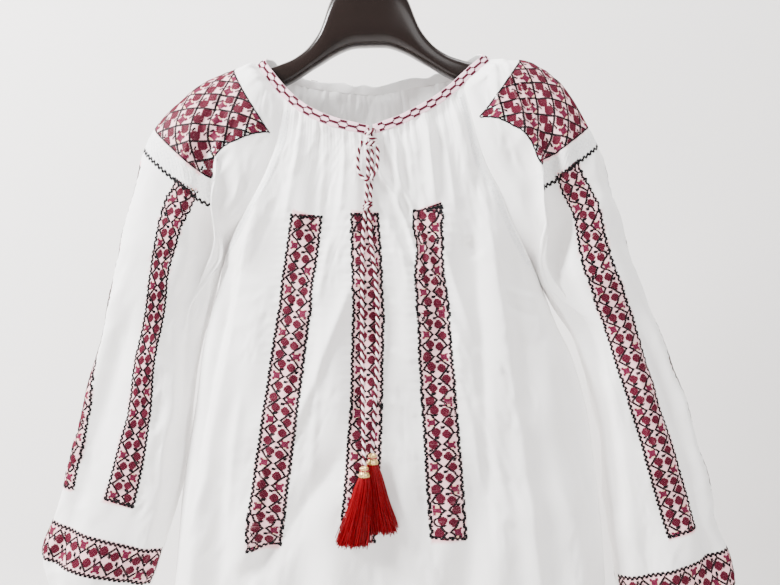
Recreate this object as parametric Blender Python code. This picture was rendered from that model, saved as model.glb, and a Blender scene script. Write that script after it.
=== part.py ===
"""Gathered raglan blouse with a drawstring neck, hung on a contoured hanger.

Lengths in the tables are millimetres and become metres when a mesh is made. X runs to the
viewer's right, -Y is the front and +Z is up. The origin is the inner top of the hanger's hook.
The garment's tables are measured from the blouse's own middle line, which hangs GARMENT_X to
the right of the hook because the hanger tips a little.
"""

import math

import bmesh
import bpy
import numpy as np
from mathutils import Matrix, Vector

MM = 0.001
GARMENT_X = 6.0
HANGER_TIP = math.radians(1.5)

WALL = 1.2
SEAM_SHIFT = 0.45
SIDE_SEAM_SHIFT = 0.75
BAND_GAP = 0.65
FACE_GAP = 0.35

NECKBAND_WIDTH = 11.0
NECKBAND_THICK = 2.2
CUFF_HEIGHT = 14.0
CUFF_THICK = 2.4
HEM_Z = -833.0

FRONT_GATHERS = 24
BACK_GATHERS = 24
SLEEVE_NECK_GATHERS = 8
CUFF_GATHERS = 12
GATHER_HEIGHT = 2.4

CORD_DIAMETER = 3.8
TASSEL_STRAND_RINGS = 3
TASSEL_STRAND_SPOKES = 12

# Middle line of the neckband from its left front end over the left shoulder, round the back
# and over the right shoulder to its right front end: x, y, z.
NECK_ROUTE = (
    (-2.9, -38.5, -259.0),
    (-14.0, -38.4, -256.3),
    (-28.0, -37.8, -253.2),
    (-54.9, -35.5, -244.1),
    (-76.8, -31.5, -231.4),
    (-93.6, -26.0, -216.1),
    (-109.0, -17.0, -197.5),
    (-122.3, -3.0, -177.0),
    (-120.0, 10.0, -173.0),
    (-106.0, 23.0, -181.0),
    (-82.0, 31.5, -189.0),
    (-45.0, 37.0, -194.0),
    (0.0, 39.0, -197.5),
    (45.0, 37.0, -190.0),
    (82.0, 31.5, -184.5),
    (108.0, 23.0, -175.5),
    (123.0, 10.0, -167.5),
    (126.5, -3.0, -171.0),
    (107.6, -17.0, -190.9),
    (90.5, -26.0, -208.5),
    (73.9, -31.5, -222.8),
    (52.2, -35.5, -236.6),
    (30.8, -37.8, -247.8),
    (14.0, -38.4, -254.0),
    (3.2, -38.5, -257.8),
)

# Where each raglan seam meets the neckband: x of the neckband's middle line there.
RAGLAN_TOP_X = {"front_left": -92.0, "back_left": -96.0, "front_right": 96.0, "back_right": 99.0}

# Raglan seam, then side seam, from the neckband to the hem: x, y, z.
SEAMS = {
    "front_left": (
        (-99.9, -33.0, -263.4),
        (-112.0, -36.0, -300.5),
        (-130.7, -36.0, -337.0),
        (-144.3, -30.0, -360.5),
        (-154.7, -19.0, -379.1),
        (-161.6, -7.0, -392.3),
        (-165.5, 0.0, -402.0),
        (-171.0, 0.0, -429.0),
        (-177.3, 0.0, -448.0),
        (-188.4, 0.0, -499.5),
        (-195.5, 0.0, -555.0),
        (-204.8, 0.0, -611.0),
        (-211.9, 0.0, -667.0),
        (-216.3, 0.0, -722.5),
        (-228.0, 0.0, HEM_Z),
    ),
    "back_left": (
        (-106.5, 33.0, -220.5),
        (-120.4, 36.0, -268.7),
        (-141.2, 36.0, -320.7),
        (-155.5, 29.0, -355.6),
        (-162.1, 18.0, -376.9),
        (-164.4, 7.0, -391.7),
        (-165.5, 0.0, -402.0),
        (-171.0, 0.0, -429.0),
        (-177.3, 0.0, -448.0),
        (-188.4, 0.0, -499.5),
        (-195.5, 0.0, -555.0),
        (-204.8, 0.0, -611.0),
        (-211.9, 0.0, -667.0),
        (-216.3, 0.0, -722.5),
        (-228.0, 0.0, HEM_Z),
    ),
    "front_right": (
        (107.2, -32.0, -238.2),
        (113.8, -35.0, -266.7),
        (123.9, -36.0, -295.7),
        (137.8, -36.0, -322.6),
        (148.9, -34.0, -350.2),
        (163.4, -28.0, -379.7),
        (174.8, -18.0, -400.6),
        (183.7, -7.0, -416.1),
        (189.5, 0.0, -428.0),
        (206.3, 0.0, -470.5),
        (220.8, 0.0, -499.5),
        (232.0, 0.0, -535.0),
        (240.5, 0.0, -570.0),
        (246.4, 0.0, -615.5),
        (252.0, 0.0, -660.0),
        (256.5, 0.0, -705.0),
        (264.0, 0.0, HEM_Z),
    ),
    "back_right": (
        (110.2, 33.0, -208.1),
        (124.0, 36.0, -258.3),
        (144.8, 36.0, -312.4),
        (162.8, 31.0, -355.4),
        (173.7, 22.0, -384.9),
        (181.8, 10.0, -405.7),
        (189.5, 0.0, -428.0),
        (206.3, 0.0, -470.5),
        (220.8, 0.0, -499.5),
        (232.0, 0.0, -535.0),
        (240.5, 0.0, -570.0),
        (246.4, 0.0, -615.5),
        (252.0, 0.0, -660.0),
        (256.5, 0.0, -705.0),
        (264.0, 0.0, HEM_Z),
    ),
}

# How far the middle of a panel stands out from the plane of the side seams: z, front, back.
BODY_DEPTH = (
    (-180.0, 39.0, 38.0),
    (-260.0, 40.0, 40.0),
    (-350.0, 43.0, 41.0),
    (-450.0, 46.0, 42.0),
    (-600.0, 49.0, 44.0),
    (-720.0, 51.0, 46.0),
    (HEM_Z, 54.0, 50.0),
)
BODY_SQUARENESS = 3.0
BODY_ROUNDNESS = 0.55

# Folds of the front and the back: x and z where the fold starts, x and z where it ends, half
# its width, and its height out of the cloth (a trough is negative).
FRONT_FOLDS = (
    (-106.0, -262.0, -136.0, -400.0, 11.0, 4.5),
    (-136.0, -400.0, -178.0, -640.0, 12.0, 5.0),
    (-178.0, -640.0, -196.0, -790.0, 14.0, 5.0),
    (-158.0, -440.0, -190.0, -620.0, 8.0, -5.0),
    (-36.0, -610.0, -150.0, -770.0, 15.0, -6.0),
    (-20.0, -420.0, -84.0, -590.0, 12.0, 3.0),
    (26.0, -255.0, 32.0, -330.0, 6.0, 3.0),
    (60.0, -240.0, 66.0, -335.0, 6.0, 3.0),
    (86.0, -226.0, 122.0, -345.0, 9.0, 4.0),
    (122.0, -345.0, 168.0, -650.0, 13.0, 5.5),
    (168.0, -650.0, 186.0, -800.0, 15.0, 6.0),
    (112.0, -400.0, 128.0, -700.0, 10.0, -4.0),
)
BACK_FOLDS = (
    (-60.0, -230.0, -110.0, -480.0, 12.0, 4.5),
    (-110.0, -480.0, -150.0, -800.0, 15.0, 6.0),
    (-20.0, -240.0, -36.0, -520.0, 11.0, 3.5),
    (-36.0, -520.0, -50.0, -810.0, 15.0, -6.0),
    (30.0, -230.0, 62.0, -500.0, 12.0, 4.0),
    (62.0, -500.0, 84.0, -810.0, 15.0, 6.0),
    (96.0, -260.0, 168.0, -560.0, 11.0, 4.0),
    (168.0, -560.0, 200.0, -810.0, 14.0, -6.0),
)
HEM_WAVES = 6
HEM_WAVE_HEIGHT = 7.0

# Sleeve sections from the neckband to the cuff. inner_x and inner_z: the front raglan seam,
# and below the underarm the inner edge; outer_x and outer_z: the outer edge; back_z: height
# of the back raglan seam; front and back: how deep the section is on each side; spread: above
# 1 it crowds the cloth towards the inner edge; tuck and lap: depth and overlap of the fold that
# hangs from the shoulder.
SLEEVE_COLUMNS = (
    "inner_x", "inner_z", "outer_x", "outer_z", "back_z", "front", "back", "spread", "tuck", "lap",
)
SLEEVE_LEFT = (
    (-101.0, -240.0, -139.4, -180.5, -206.0, 31.0, 31.0, 1.0, 0.0, 0.0),
    (-107.0, -262.0, -160.0, -188.0, -228.0, 34.0, 33.0, 1.0, 0.0, 0.0),
    (-117.0, -292.0, -199.0, -213.0, -262.0, 37.0, 35.0, 1.0, 1.0, 0.0),
    (-129.0, -318.0, -237.5, -250.0, -296.0, 39.0, 36.0, 1.1, 6.0, 4.0),
    (-140.0, -340.0, -251.5, -278.0, -322.0, 38.0, 36.0, 1.35, 13.0, 9.0),
    (-155.0, -370.0, -264.0, -322.0, -362.0, 36.0, 36.0, 1.5, 15.0, 7.0),
    (-167.2, -402.0, -277.0, -372.0, -402.0, 35.0, 36.0, 1.5, 11.0, 4.0),
    (-178.0, -437.0, -286.5, -412.0, -437.0, 35.0, 37.0, 1.3, 5.0, 1.0),
    (-193.5, -500.0, -300.5, -473.0, -500.0, 35.0, 38.0, 1.1, 0.0, 0.0),
    (-205.5, -588.0, -322.5, -562.0, -588.0, 34.0, 38.0, 1.0, 0.0, 0.0),
    (-218.0, -665.0, -341.5, -638.0, -665.0, 33.0, 37.0, 1.0, 0.0, 0.0),
    (-235.3, -719.0, -357.5, -688.0, -719.0, 32.0, 36.0, 1.0, 0.0, 0.0),
    (-247.0, -756.0, -366.8, -727.0, -756.0, 31.0, 34.0, 1.0, 0.0, 0.0),
    (-269.0, -797.0, -358.0, -780.0, -797.0, 27.0, 28.0, 1.0, 0.0, 0.0),
)
SLEEVE_RIGHT = (
    (106.5, -218.0, 148.3, -175.5, -192.0, 31.0, 31.0, 1.0, 0.0, 0.0),
    (111.0, -240.0, 170.0, -175.5, -216.0, 34.0, 33.0, 1.0, 0.0, 0.0),
    (119.0, -270.0, 206.0, -200.0, -252.0, 37.0, 35.0, 1.0, 1.0, 0.0),
    (133.0, -302.0, 239.5, -251.0, -292.0, 39.0, 36.0, 1.0, 6.0, 4.0),
    (146.0, -330.0, 252.5, -277.0, -322.0, 38.0, 36.0, 1.15, 13.0, 9.0),
    (163.0, -370.0, 268.0, -325.0, -366.0, 36.0, 36.0, 1.4, 15.0, 7.0),
    (191.2, -428.0, 291.0, -399.0, -428.0, 35.0, 36.0, 1.5, 9.0, 3.0),
    (205.0, -452.0, 300.0, -426.0, -452.0, 35.0, 37.0, 1.3, 4.0, 1.0),
    (223.5, -478.0, 310.0, -452.0, -478.0, 36.0, 38.0, 1.1, 0.0, 0.0),
    (243.0, -531.0, 331.0, -504.0, -531.0, 36.0, 40.0, 1.0, 0.0, 0.0),
    (254.2, -574.0, 345.5, -548.0, -574.0, 36.0, 40.0, 1.0, 0.0, 0.0),
    (263.0, -649.0, 368.0, -620.0, -649.0, 35.0, 38.0, 1.0, 0.0, 0.0),
    (271.5, -722.5, 386.9, -693.5, -722.5, 34.0, 36.0, 1.0, 0.0, 0.0),
    (275.0, -757.0, 396.5, -725.0, -757.0, 32.0, 35.0, 1.0, 0.0, 0.0),
    (285.0, -795.0, 403.5, -764.0, -795.0, 31.0, 33.0, 1.0, 0.0, 0.0),
    (309.0, -836.0, 397.0, -819.0, -836.0, 27.0, 28.0, 1.0, 0.0, 0.0),
)
UNDERARM_ROW = 6
SLEEVE_BACK_SHIFT = 7.0
TUCK_AT = 0.30

# Soft folds down the sleeves: where round the sleeve (0 inner front, 0.5 outer edge, 1 inner
# back) and how far down each starts and ends, half its width in the same measure, its height.
SLEEVE_FOLDS = (
    (0.33, 0.42, 0.36, 0.96, 0.045, -7.0),
    (0.14, 0.50, 0.12, 0.92, 0.040, 3.0),
    (0.60, 0.30, 0.66, 0.90, 0.050, -5.0),
    (0.84, 0.40, 0.80, 0.94, 0.050, -5.0),
)

# Rows and columns of the panels' nets. The first rows below the neckband, and the last above
# the cuff, have more columns than the rest, for the gathers.
GATHER_ROWS_MM = (0.0, 7.0, 18.0, 34.0, 52.0)
RAGLAN_ROWS_MM = (70.0, 88.0, 106.0, 124.0, 142.0, 162.0, 184.0)
BODY_ROWS_BELOW = 8
FRONT_COLUMNS = 72
BACK_COLUMNS = 48
SLEEVE_COLUMNS_ROUND = 24
# Share of a section's columns, and share of its round that they cover: they crowd where the
# shoulder's fold lies.
SLEEVE_COLUMN_SHARES = (0.0, 0.42, 0.60, 1.0)
SLEEVE_ROUND_SHARES = (0.0, 0.25, 0.50, 1.0)
SLEEVE_NECK_ROWS = 9
SLEEVE_TUBE_ROWS = 9
SLEEVE_CUFF_ROWS = 3
# A sleeve's wall is three lengths, so that the arm's way through each stays clear: the tube rows
# where one ends and the next begins, their names, and half the gap between two.
SLEEVE_CUT_ROWS = (1, 5)
SLEEVE_LENGTHS = ("", "_elbow", "_forearm")
SLEEVE_CUT_GAP = 0.25

# Hanger, in its own level frame: x of the station, height of its top and bottom edges there,
# half its thickness, and how far its middle plane lies in front of the hook.
HANGER_STATIONS = (
    (0.0, -83.0, -158.5, 17.0, 0.0),
    (22.0, -84.0, -160.0, 17.0, 0.0),
    (34.0, -91.5, -164.5, 16.0, 0.0),
    (43.0, -108.0, -169.0, 15.0, 0.0),
    (54.0, -137.5, -175.5, 13.5, 0.0),
    (66.0, -155.5, -182.5, 12.0, 0.0),
    (82.0, -168.5, -192.5, 10.5, 0.0),
    (100.0, -176.0, -201.5, 9.5, 0.0),
    (120.0, -181.5, -207.5, 9.5, 0.0),
    (140.0, -185.5, -212.0, 10.0, 0.0),
    (160.0, -189.4, -215.5, 10.5, 0.0),
    (175.0, -194.0, -219.0, 10.5, 0.0),
    (190.0, -204.0, -224.0, 9.5, 0.0),
    (200.0, -210.5, -227.0, 7.5, 0.0),
    (205.0, -217.5, -226.0, 4.0, 0.0),
)
HANGER_SIDES = 12
HANGER_SQUARENESS = 0.62

# Half the wire's thickness, the hook's inner radius, and its stem above the hanger's top: x and
# height of each point. The first ones carry the collar.
HOOK_WIRE = 2.3
HOOK_INNER_RADIUS = 18.0
FERRULE_RADIUS = 5.0
HOOK_STEM = ((0.0, 0.0), (0.0, 8.0), (0.0, 16.0), (-0.6, 24.0), (-3.4, 33.0))
FERRULE_POINTS = 3
HOOK_FIRST_DEGREES = 232
HOOK_LAST_DEGREES = -40

# Routes of the drawstring: x, y, z of the points that its smooth curve passes through.
CORD_LEFT_ROUTE = (
    (-3.6, -44.4, -280.4),
    (-3.4, -44.4, -290.0),
    (-3.3, -44.6, -303.0),
    (-3.6, -44.9, -316.0),
    (-4.8, -45.5, -330.0),
    (-6.6, -46.4, -350.0),
    (-8.5, -47.6, -376.5),
    (-9.0, -49.4, -420.0),
    (-9.2, -52.0, -470.0),
    (-8.6, -55.4, -520.0),
    (-7.6, -60.0, -570.0),
    (-6.6, -65.4, -611.2),
)
CORD_RIGHT_ROUTE = (
    (1.6, -44.4, -280.3),
    (1.3, -44.3, -290.0),
    (0.9, -44.6, -303.0),
    (0.6, -44.9, -316.0),
    (-0.5, -45.5, -330.0),
    (-1.8, -46.4, -350.0),
    (0.4, -47.6, -380.0),
    (5.6, -49.3, -425.0),
    (7.0, -51.0, -475.0),
    (5.6, -52.8, -525.0),
    (3.4, -55.0, -567.0),
    (1.9, -57.3, -599.7),
)
LOOP_ROUTE = (
    (-8.9, -44.9, -271.4),
    (-12.3, -45.3, -280.0),
    (-13.8, -45.7, -292.0),
    (-12.0, -47.0, -306.0),
    (-4.3, -49.4, -313.4),
    (4.0, -49.0, -307.0),
    (7.0, -47.0, -294.0),
    (7.3, -45.6, -284.0),
    (6.5, -44.9, -275.8),
)
KNOT_CENTRE = (-0.5, -45.1, -267.0)
KNOT_RADII = (7.2, 4.6, 12.5)

# Tassels: x, y and z of the cap's top, and x of the middle of the strands' lower end.
TASSELS = {"left": (-6.5, -65.6, -611.5, -19.5), "right": (1.9, -57.3, -600.0, 11.2)}
# Radius of the beaded cap at each depth below its top.
CAP_PROFILE = ((2.2, 0.0), (4.4, 2.6), (3.6, 5.2), (5.2, 7.6), (5.6, 10.2), (4.0, 12.0))
CAP_HEIGHT = CAP_PROFILE[-1][1]
TASSEL_LENGTH = 75.0
TASSEL_HEAD_RADIUS = 6.5
TASSEL_HEAD_FLATNESS = 0.75
TASSEL_END_RADIUS = 15.0
TASSEL_END_FLATNESS = 0.40


def clear_scene():
    """Remove every object that the opened file holds."""
    for item in list(bpy.data.objects):
        bpy.data.objects.remove(item, do_unlink=True)


def smooth_curve(keys, values, at, settle=False):
    """Values at the places `at` of the smooth curve through a table's rows.

    Each piece between two rows is a cubic whose slope at a row is that of its neighbours' chord.
    With `settle` the curve never passes beyond two neighbouring rows.
    """
    keys = np.asarray(keys, dtype=float)
    values = np.asarray(values, dtype=float).reshape(len(keys), -1)
    if keys[0] > keys[-1]:
        keys = keys[::-1]
        values = values[::-1]
    slopes = np.gradient(values, keys, axis=0)
    if settle:
        chords = np.diff(values, axis=0) / np.diff(keys)[:, None]
        product = np.maximum(chords[:-1] * chords[1:], 0.0)
        total = chords[:-1] + chords[1:]
        slopes[1:-1] = np.where(product > 0, 2 * product / np.where(product > 0, total, 1.0), 0.0)
    at = np.clip(np.asarray(at, dtype=float), keys[0], keys[-1])
    piece = np.clip(np.searchsorted(keys, at, side="right") - 1, 0, len(keys) - 2)
    span = keys[piece + 1] - keys[piece]
    part = ((at - keys[piece]) / span)[..., None]
    span = span[..., None]
    start_weight = 2 * part**3 - 3 * part**2 + 1
    start_slope = part**3 - 2 * part**2 + part
    end_slope = part**3 - part**2
    return (
        start_weight * values[piece]
        + start_slope * span * slopes[piece]
        + (1 - start_weight) * values[piece + 1]
        + end_slope * span * slopes[piece + 1]
    )


def unit(vectors):
    """Vectors scaled to length 1."""
    return vectors / np.maximum(np.linalg.norm(vectors, axis=-1, keepdims=True), 1e-9)


def lengths_along(points):
    """Distance of each point of a polyline from its first point."""
    steps = np.linalg.norm(np.diff(points, axis=0), axis=1)
    return np.concatenate([[0.0], np.cumsum(steps)])


def step_up(value):
    """Smooth step from 0 at 0 to 1 at 1."""
    value = np.clip(value, 0.0, 1.0)
    return value * value * (3 - 2 * value)


class Neckline:
    """The neckband's middle line and the edge that the panels hang from."""

    def __init__(self):
        route = np.array(NECK_ROUTE)
        keys = lengths_along(route)
        self.steps = np.linspace(0.0, keys[-1], 2400)
        self.trim = int(round(SEAM_SHIFT / self.steps[1])) + 1
        self.middle = smooth_curve(keys, route, self.steps)
        self.along = unit(np.gradient(self.middle, axis=0))
        inward = -self.middle * np.array([1.0, 1.0, 0.0])
        inward = unit(inward * np.array([1.0, 1.0, 0.0]))
        side = np.clip(np.abs(self.middle[:, 0]) / 120.0, 0.0, 1.0)[:, None] ** 3
        lean = 0.10 + 1.5 * side
        lean_up = unit(np.array([0.0, 0.0, 1.0]) + lean * inward)
        across = lean_up - np.sum(lean_up * self.along, axis=1, keepdims=True) * self.along
        self.across = unit(across)
        self.out = unit(np.cross(self.across, self.along))

    def index_at(self, seam):
        """Sample where the given raglan seam meets the band."""
        front = "front" in seam
        same_half = (self.middle[:, 1] < 0) == front
        miss = np.abs(self.middle[:, 0] - RAGLAN_TOP_X[seam]) + np.where(same_half, 0.0, 1000.0)
        return int(np.argmin(miss))

    def edge(self, first, last):
        """Lower edge of the band between two samples, in the given order."""
        step = 1 if last >= first else -1
        picks = np.arange(first, last + step, step)
        drop = NECKBAND_WIDTH / 2 + BAND_GAP
        return self.middle[picks] - drop * self.across[picks]

    def front_edge(self):
        """Lower edge from the left raglan seam across the notch to the right one."""
        left = self.edge(self.index_at("front_left") - self.trim, 0)
        right = self.edge(len(self.middle) - 1, self.index_at("front_right") + self.trim)
        return np.concatenate([left, right])

    def back_edge(self):
        """Lower edge across the back, from the left raglan seam to the right one."""
        return self.edge(self.index_at("back_left") + self.trim, self.index_at("back_right") - self.trim)

    def sleeve_edge(self, side):
        """Lower edge over one shoulder, from the front raglan seam to the back one."""
        trim = self.trim if side == "left" else -self.trim
        return self.edge(self.index_at("front_" + side) + trim, self.index_at("back_" + side) - trim)


def spread_along(points, parts):
    """Points of a polyline at the given parts (0 to 1) of its length."""
    distance = lengths_along(points)
    wanted = np.asarray(parts) * distance[-1]
    return np.stack([np.interp(wanted, distance, points[:, axis]) for axis in range(3)], axis=-1)


def seam_line(neckline, seam):
    """One panel edge from the neckband to the hem: a row of x, y, z for each table row."""
    index = neckline.index_at(seam)
    top = neckline.edge(index, index)[0]
    return np.vstack([top, np.array(SEAMS[seam])])


def surface_normals(grid):
    """Unit normals of a grid of points, rows first."""
    down = np.gradient(grid, axis=0)
    across = np.gradient(grid, axis=1)
    return unit(np.cross(across, down))


def fold_field(x, z, folds):
    """Height of the folds at each (x, z): round troughs and ridges along straight runs."""
    height = np.zeros_like(x)
    for start_x, start_z, end_x, end_z, half_width, rise in folds:
        run = np.array([end_x - start_x, end_z - start_z])
        length = np.hypot(*run)
        along = ((x - start_x) * run[0] + (z - start_z) * run[1]) / length**2
        off = ((x - start_x) * run[1] - (z - start_z) * run[0]) / length
        ends = step_up((along + 0.15) / 0.3) * step_up((1.15 - along) / 0.3)
        height += rise * np.exp(-((off / half_width) ** 2)) * ends
    return height


def gather_wave(part, waves, distance):
    """Height of the neck gathers: they open just below the band and fade down the cloth."""
    uneven = 0.35 * np.sin(2 * math.pi * 3.3 * part) + 0.25 * np.sin(2 * math.pi * 7.1 * part)
    opened = 1 - np.exp(-distance / 5.0)
    fading = np.exp(-distance / (48.0 + 22.0 * np.sin(2 * math.pi * 5.7 * part + 1.0)))
    wave = np.cos(2 * math.pi * waves * part + uneven)
    return GATHER_HEIGHT * wave * opened * fading


def part_side_seam(seam_y, facing):
    """Depth of a panel's edge: on the raglan seam it stays, at the side seam it moves off it."""
    at_side = step_up(1 - np.abs(seam_y) / 20.0)
    return seam_y + facing * SIDE_SEAM_SHIFT * at_side


def body_panel(neckline, name, columns, rows):
    """Grid of points of the front or the back, one array row for each value of `rows` (0 to 1).

    X and Z are a net stretched between the neckband's edge, the two seams and the hem. Y swells
    from the seams to the panel's depth, flat in the middle and round at the sides.
    """
    front = name == "front"
    facing = -1.0 if front else 1.0
    edge = neckline.front_edge() if front else neckline.back_edge()
    parts = np.linspace(0.0, 1.0, columns + 1)
    top = spread_along(edge, parts)
    left = seam_line(neckline, name + "_left")
    right = seam_line(neckline, name + "_right")
    share = np.asarray(rows)[:, None]
    u = parts[None, :]

    left_z = left[0, 2] + share * (HEM_Z - left[0, 2])
    right_z = right[0, 2] + share * (HEM_Z - right[0, 2])
    left_at = smooth_curve(left[:, 2], left[:, :2], left_z[:, 0], settle=True)
    right_at = smooth_curve(right[:, 2], right[:, :2], right_z[:, 0], settle=True)
    left_x = left_at[:, 0][:, None] + SEAM_SHIFT
    right_x = right_at[:, 0][:, None] - SEAM_SHIFT
    hem_x = left_x[-1] + u * (right_x[-1] - left_x[-1])
    net_x = (1 - share) * top[None, :, 0] + share * hem_x
    net_left = (1 - share) * left_x[0] + share * left_x[-1]
    net_right = (1 - share) * right_x[0] + share * right_x[-1]
    x = net_x + (1 - u) * (left_x - net_left) + u * (right_x - net_right)
    z = (1 - share) * top[None, :, 2] + share * HEM_Z

    depth_rows = np.array(BODY_DEPTH)
    depth = smooth_curve(depth_rows[:, 0], depth_rows[:, 1 if front else 2], z)[..., 0]
    left_y = part_side_seam(left_at[:, 1][:, None], facing)
    right_y = part_side_seam(right_at[:, 1][:, None], facing)
    seam_y = (1 - u) * left_y + u * right_y
    swell = (1 - np.abs(2 * u - 1) ** BODY_SQUARENESS) ** BODY_ROUNDNESS
    settled_y = seam_y + (facing * depth - seam_y) * swell
    distance = share * (-HEM_Z + top[None, :, 2])
    hang = step_up(distance / 110.0)
    y = settled_y + (1 - hang) * (top[None, :, 1] - settled_y[:1])
    base = np.stack([x, y, z], axis=-1)

    near_seam = step_up(np.minimum(u, 1 - u) / 0.06)
    waves = FRONT_GATHERS if front else BACK_GATHERS
    rise = gather_wave(u, waves, distance) * near_seam
    rise += fold_field(x, z, FRONT_FOLDS if front else BACK_FOLDS) * near_seam * step_up(distance / 30.0)
    hem_share = step_up((share - 0.45) / 0.55)
    ripple = np.sin(2 * math.pi * HEM_WAVES * u - 0.25 + 1.2 * np.sin(4.0 * u + 2.0 * share))
    rise += HEM_WAVE_HEIGHT * hem_share * ripple * near_seam
    outward = surface_normals(base)
    outward *= np.sign(np.sum(outward * np.array([0.0, facing, 0.0]), axis=-1, keepdims=True) + 1e-6)
    return base + outward * rise[..., None]


def column(rows, name):
    """One named column of a sleeve table."""
    return rows[:, SLEEVE_COLUMNS.index(name)]


class Sleeve:
    """One raglan sleeve: open along the raglan seams, a tube below the underarm."""

    def __init__(self, neckline, side):
        self.side = side
        self.sign = -1.0 if side == "left" else 1.0
        self.rows = np.array(SLEEVE_LEFT if side == "left" else SLEEVE_RIGHT)
        self.neck = neckline.sleeve_edge(side)
        self.front_seam = seam_line(neckline, "front_" + side)
        self.back_seam = seam_line(neckline, "back_" + side)
        ridge = int(np.argmax(self.neck[:, 2]))
        first = np.array([[
            self.neck[0, 0], self.neck[0, 2], self.neck[ridge, 0], self.neck[ridge, 2],
            self.neck[-1, 2], 30.0, 30.0, 1.0, 0.0, 0.0,
        ]])
        self.rows = np.vstack([first, self.rows])
        middles = (self.rows[:, :2] + self.rows[:, 2:4]) / 2
        self.keys = lengths_along(middles)
        self.ridge_part = lengths_along(self.neck)[ridge] / lengths_along(self.neck)[-1]
        self.underarm = self.keys[UNDERARM_ROW + 1]
        self.length = self.keys[-1]

    def points(self, distances, round_parts):
        """Grid of points: a row for each distance down the sleeve, a column for each round part.

        A section runs from its inner edge along the front to the outer edge and back along the
        rear. Above the underarm its ends stand on the raglan seams, below it they meet.
        """
        distances = np.asarray(distances, dtype=float)
        parts = np.asarray(round_parts, dtype=float)[None, :]
        table = smooth_curve(self.keys, self.rows, distances)
        get = {name: column(table, name)[:, None] for name in SLEEVE_COLUMNS}
        open_part = step_up((self.underarm - distances) / 75.0)[:, None]
        below = distances[:, None] >= self.underarm
        shift_x = self.sign * (SEAM_SHIFT + 1.1 * (1 - open_part))

        front_z = get["inner_z"][:, 0]
        back_z = get["back_z"][:, 0]
        front_at = smooth_curve(self.front_seam[:, 2], self.front_seam[:, :2], front_z, settle=True)
        back_at = smooth_curve(self.back_seam[:, 2], self.back_seam[:, :2], back_z, settle=True)
        front_x = np.where(below, get["inner_x"], front_at[:, :1] + shift_x)
        back_x = np.where(below, get["inner_x"], back_at[:, :1] + shift_x)
        middle_y = SLEEVE_BACK_SHIFT * step_up((distances - self.underarm) / 60.0)[:, None]
        front_y = np.where(below, middle_y, front_at[:, 1:])
        back_y = np.where(below, middle_y, back_at[:, 1:])

        on_front = parts <= 0.5
        to_outer = np.where(on_front, 2 * parts, 2 * (1 - parts))
        spread = np.where(on_front, get["spread"], 1.0)
        turn = math.pi / 2 * to_outer**spread
        reach = open_part * np.sin(turn) + (1 - open_part) * np.sin(turn) ** 2
        seam_x = np.where(on_front, front_x, back_x)
        seam_y = np.where(on_front, front_y, back_y)
        seam_z = np.where(on_front, get["inner_z"], get["back_z"])
        x = seam_x + (get["outer_x"] - seam_x) * reach
        z = seam_z + (get["outer_z"] - seam_z) * reach
        facing = np.where(on_front, -1.0, 1.0)
        deep = np.where(on_front, get["front"], get["back"])
        from_seam = np.cos(turn) ** 0.9
        belly = np.maximum(np.sin(2 * turn), 0.0) ** 0.8
        open_y = seam_y * from_seam + facing * (deep - np.abs(seam_y) * 0.75) * belly
        tube_y = middle_y + facing * deep * belly
        y = open_part * open_y + (1 - open_part) * tube_y

        row_length = np.hypot(get["outer_x"] - front_x, get["outer_z"] - get["inner_z"])
        tuck_turn = math.pi / 2 * (2 * TUCK_AT * 0.5) ** get["spread"]
        tuck_reach = open_part * np.sin(tuck_turn) + (1 - open_part) * np.sin(tuck_turn) ** 2
        offset = (reach - tuck_reach) * row_length
        tucked = np.where(on_front, 1.0, 0.0)
        fold_out = np.exp(-((offset / 7.0) ** 2)) * 0.55
        fold_in = np.exp(-(((offset - 13.0) / 8.0) ** 2))
        y = y + tucked * get["tuck"] * (fold_in - fold_out)
        x = x - self.sign * tucked * get["lap"] * np.exp(-(((offset - 8.0) / 6.5) ** 2))

        base = np.stack([x, y, z + 0 * x], axis=-1)
        neck_row = self.neck_row(round_parts)
        ease = step_up(distances / self.keys[1])[:, None, None]
        slide = base - base[:1]
        base = ease * base + (1 - ease) * (neck_row[None] + slide)
        return base + self.relief(base, distances, parts)

    def neck_row(self, round_parts):
        """Points along the neckband's edge, with the middle part on the shoulder's ridge."""
        parts = np.asarray(round_parts, dtype=float)
        on_front = parts <= 0.5
        ridge = self.ridge_part
        share = np.where(on_front, 2 * parts * ridge, ridge + (2 * parts - 1) * (1 - ridge))
        return spread_along(self.neck, share)

    def relief(self, base, distances, parts):
        """Gathers at neck and cuff and the long soft folds, along the surface's normal."""
        distance = distances[:, None]
        down = distance / self.length
        seams = np.minimum(parts, 1 - parts)
        near_seam = np.where(distance < self.underarm, step_up(seams / 0.07), 1.0)
        rise = gather_wave(parts, SLEEVE_NECK_GATHERS, distance) * step_up(seams / 0.07)
        for start_part, start_down, end_part, end_down, half_width, height in SLEEVE_FOLDS:
            along = (down - start_down) / (end_down - start_down)
            centre = start_part + (end_part - start_part) * along
            ends = step_up(along / 0.25) * step_up((1 - along) / 0.2)
            rise = rise + height * np.exp(-(((parts - centre) / half_width) ** 2)) * ends * near_seam
        to_cuff = self.length - distance
        opened = 1 - np.exp(-to_cuff / 6.0)
        wave = np.cos(2 * math.pi * CUFF_GATHERS * parts)
        rise = rise + 1.2 * GATHER_HEIGHT * wave * opened * np.exp(-to_cuff / 26.0)
        outward = surface_normals(base)
        centre = (base.min(axis=1, keepdims=True) + base.max(axis=1, keepdims=True)) / 2
        facing = np.sum(outward * (base - centre), axis=-1).mean()
        return outward * np.sign(facing) * rise[..., None]


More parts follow.
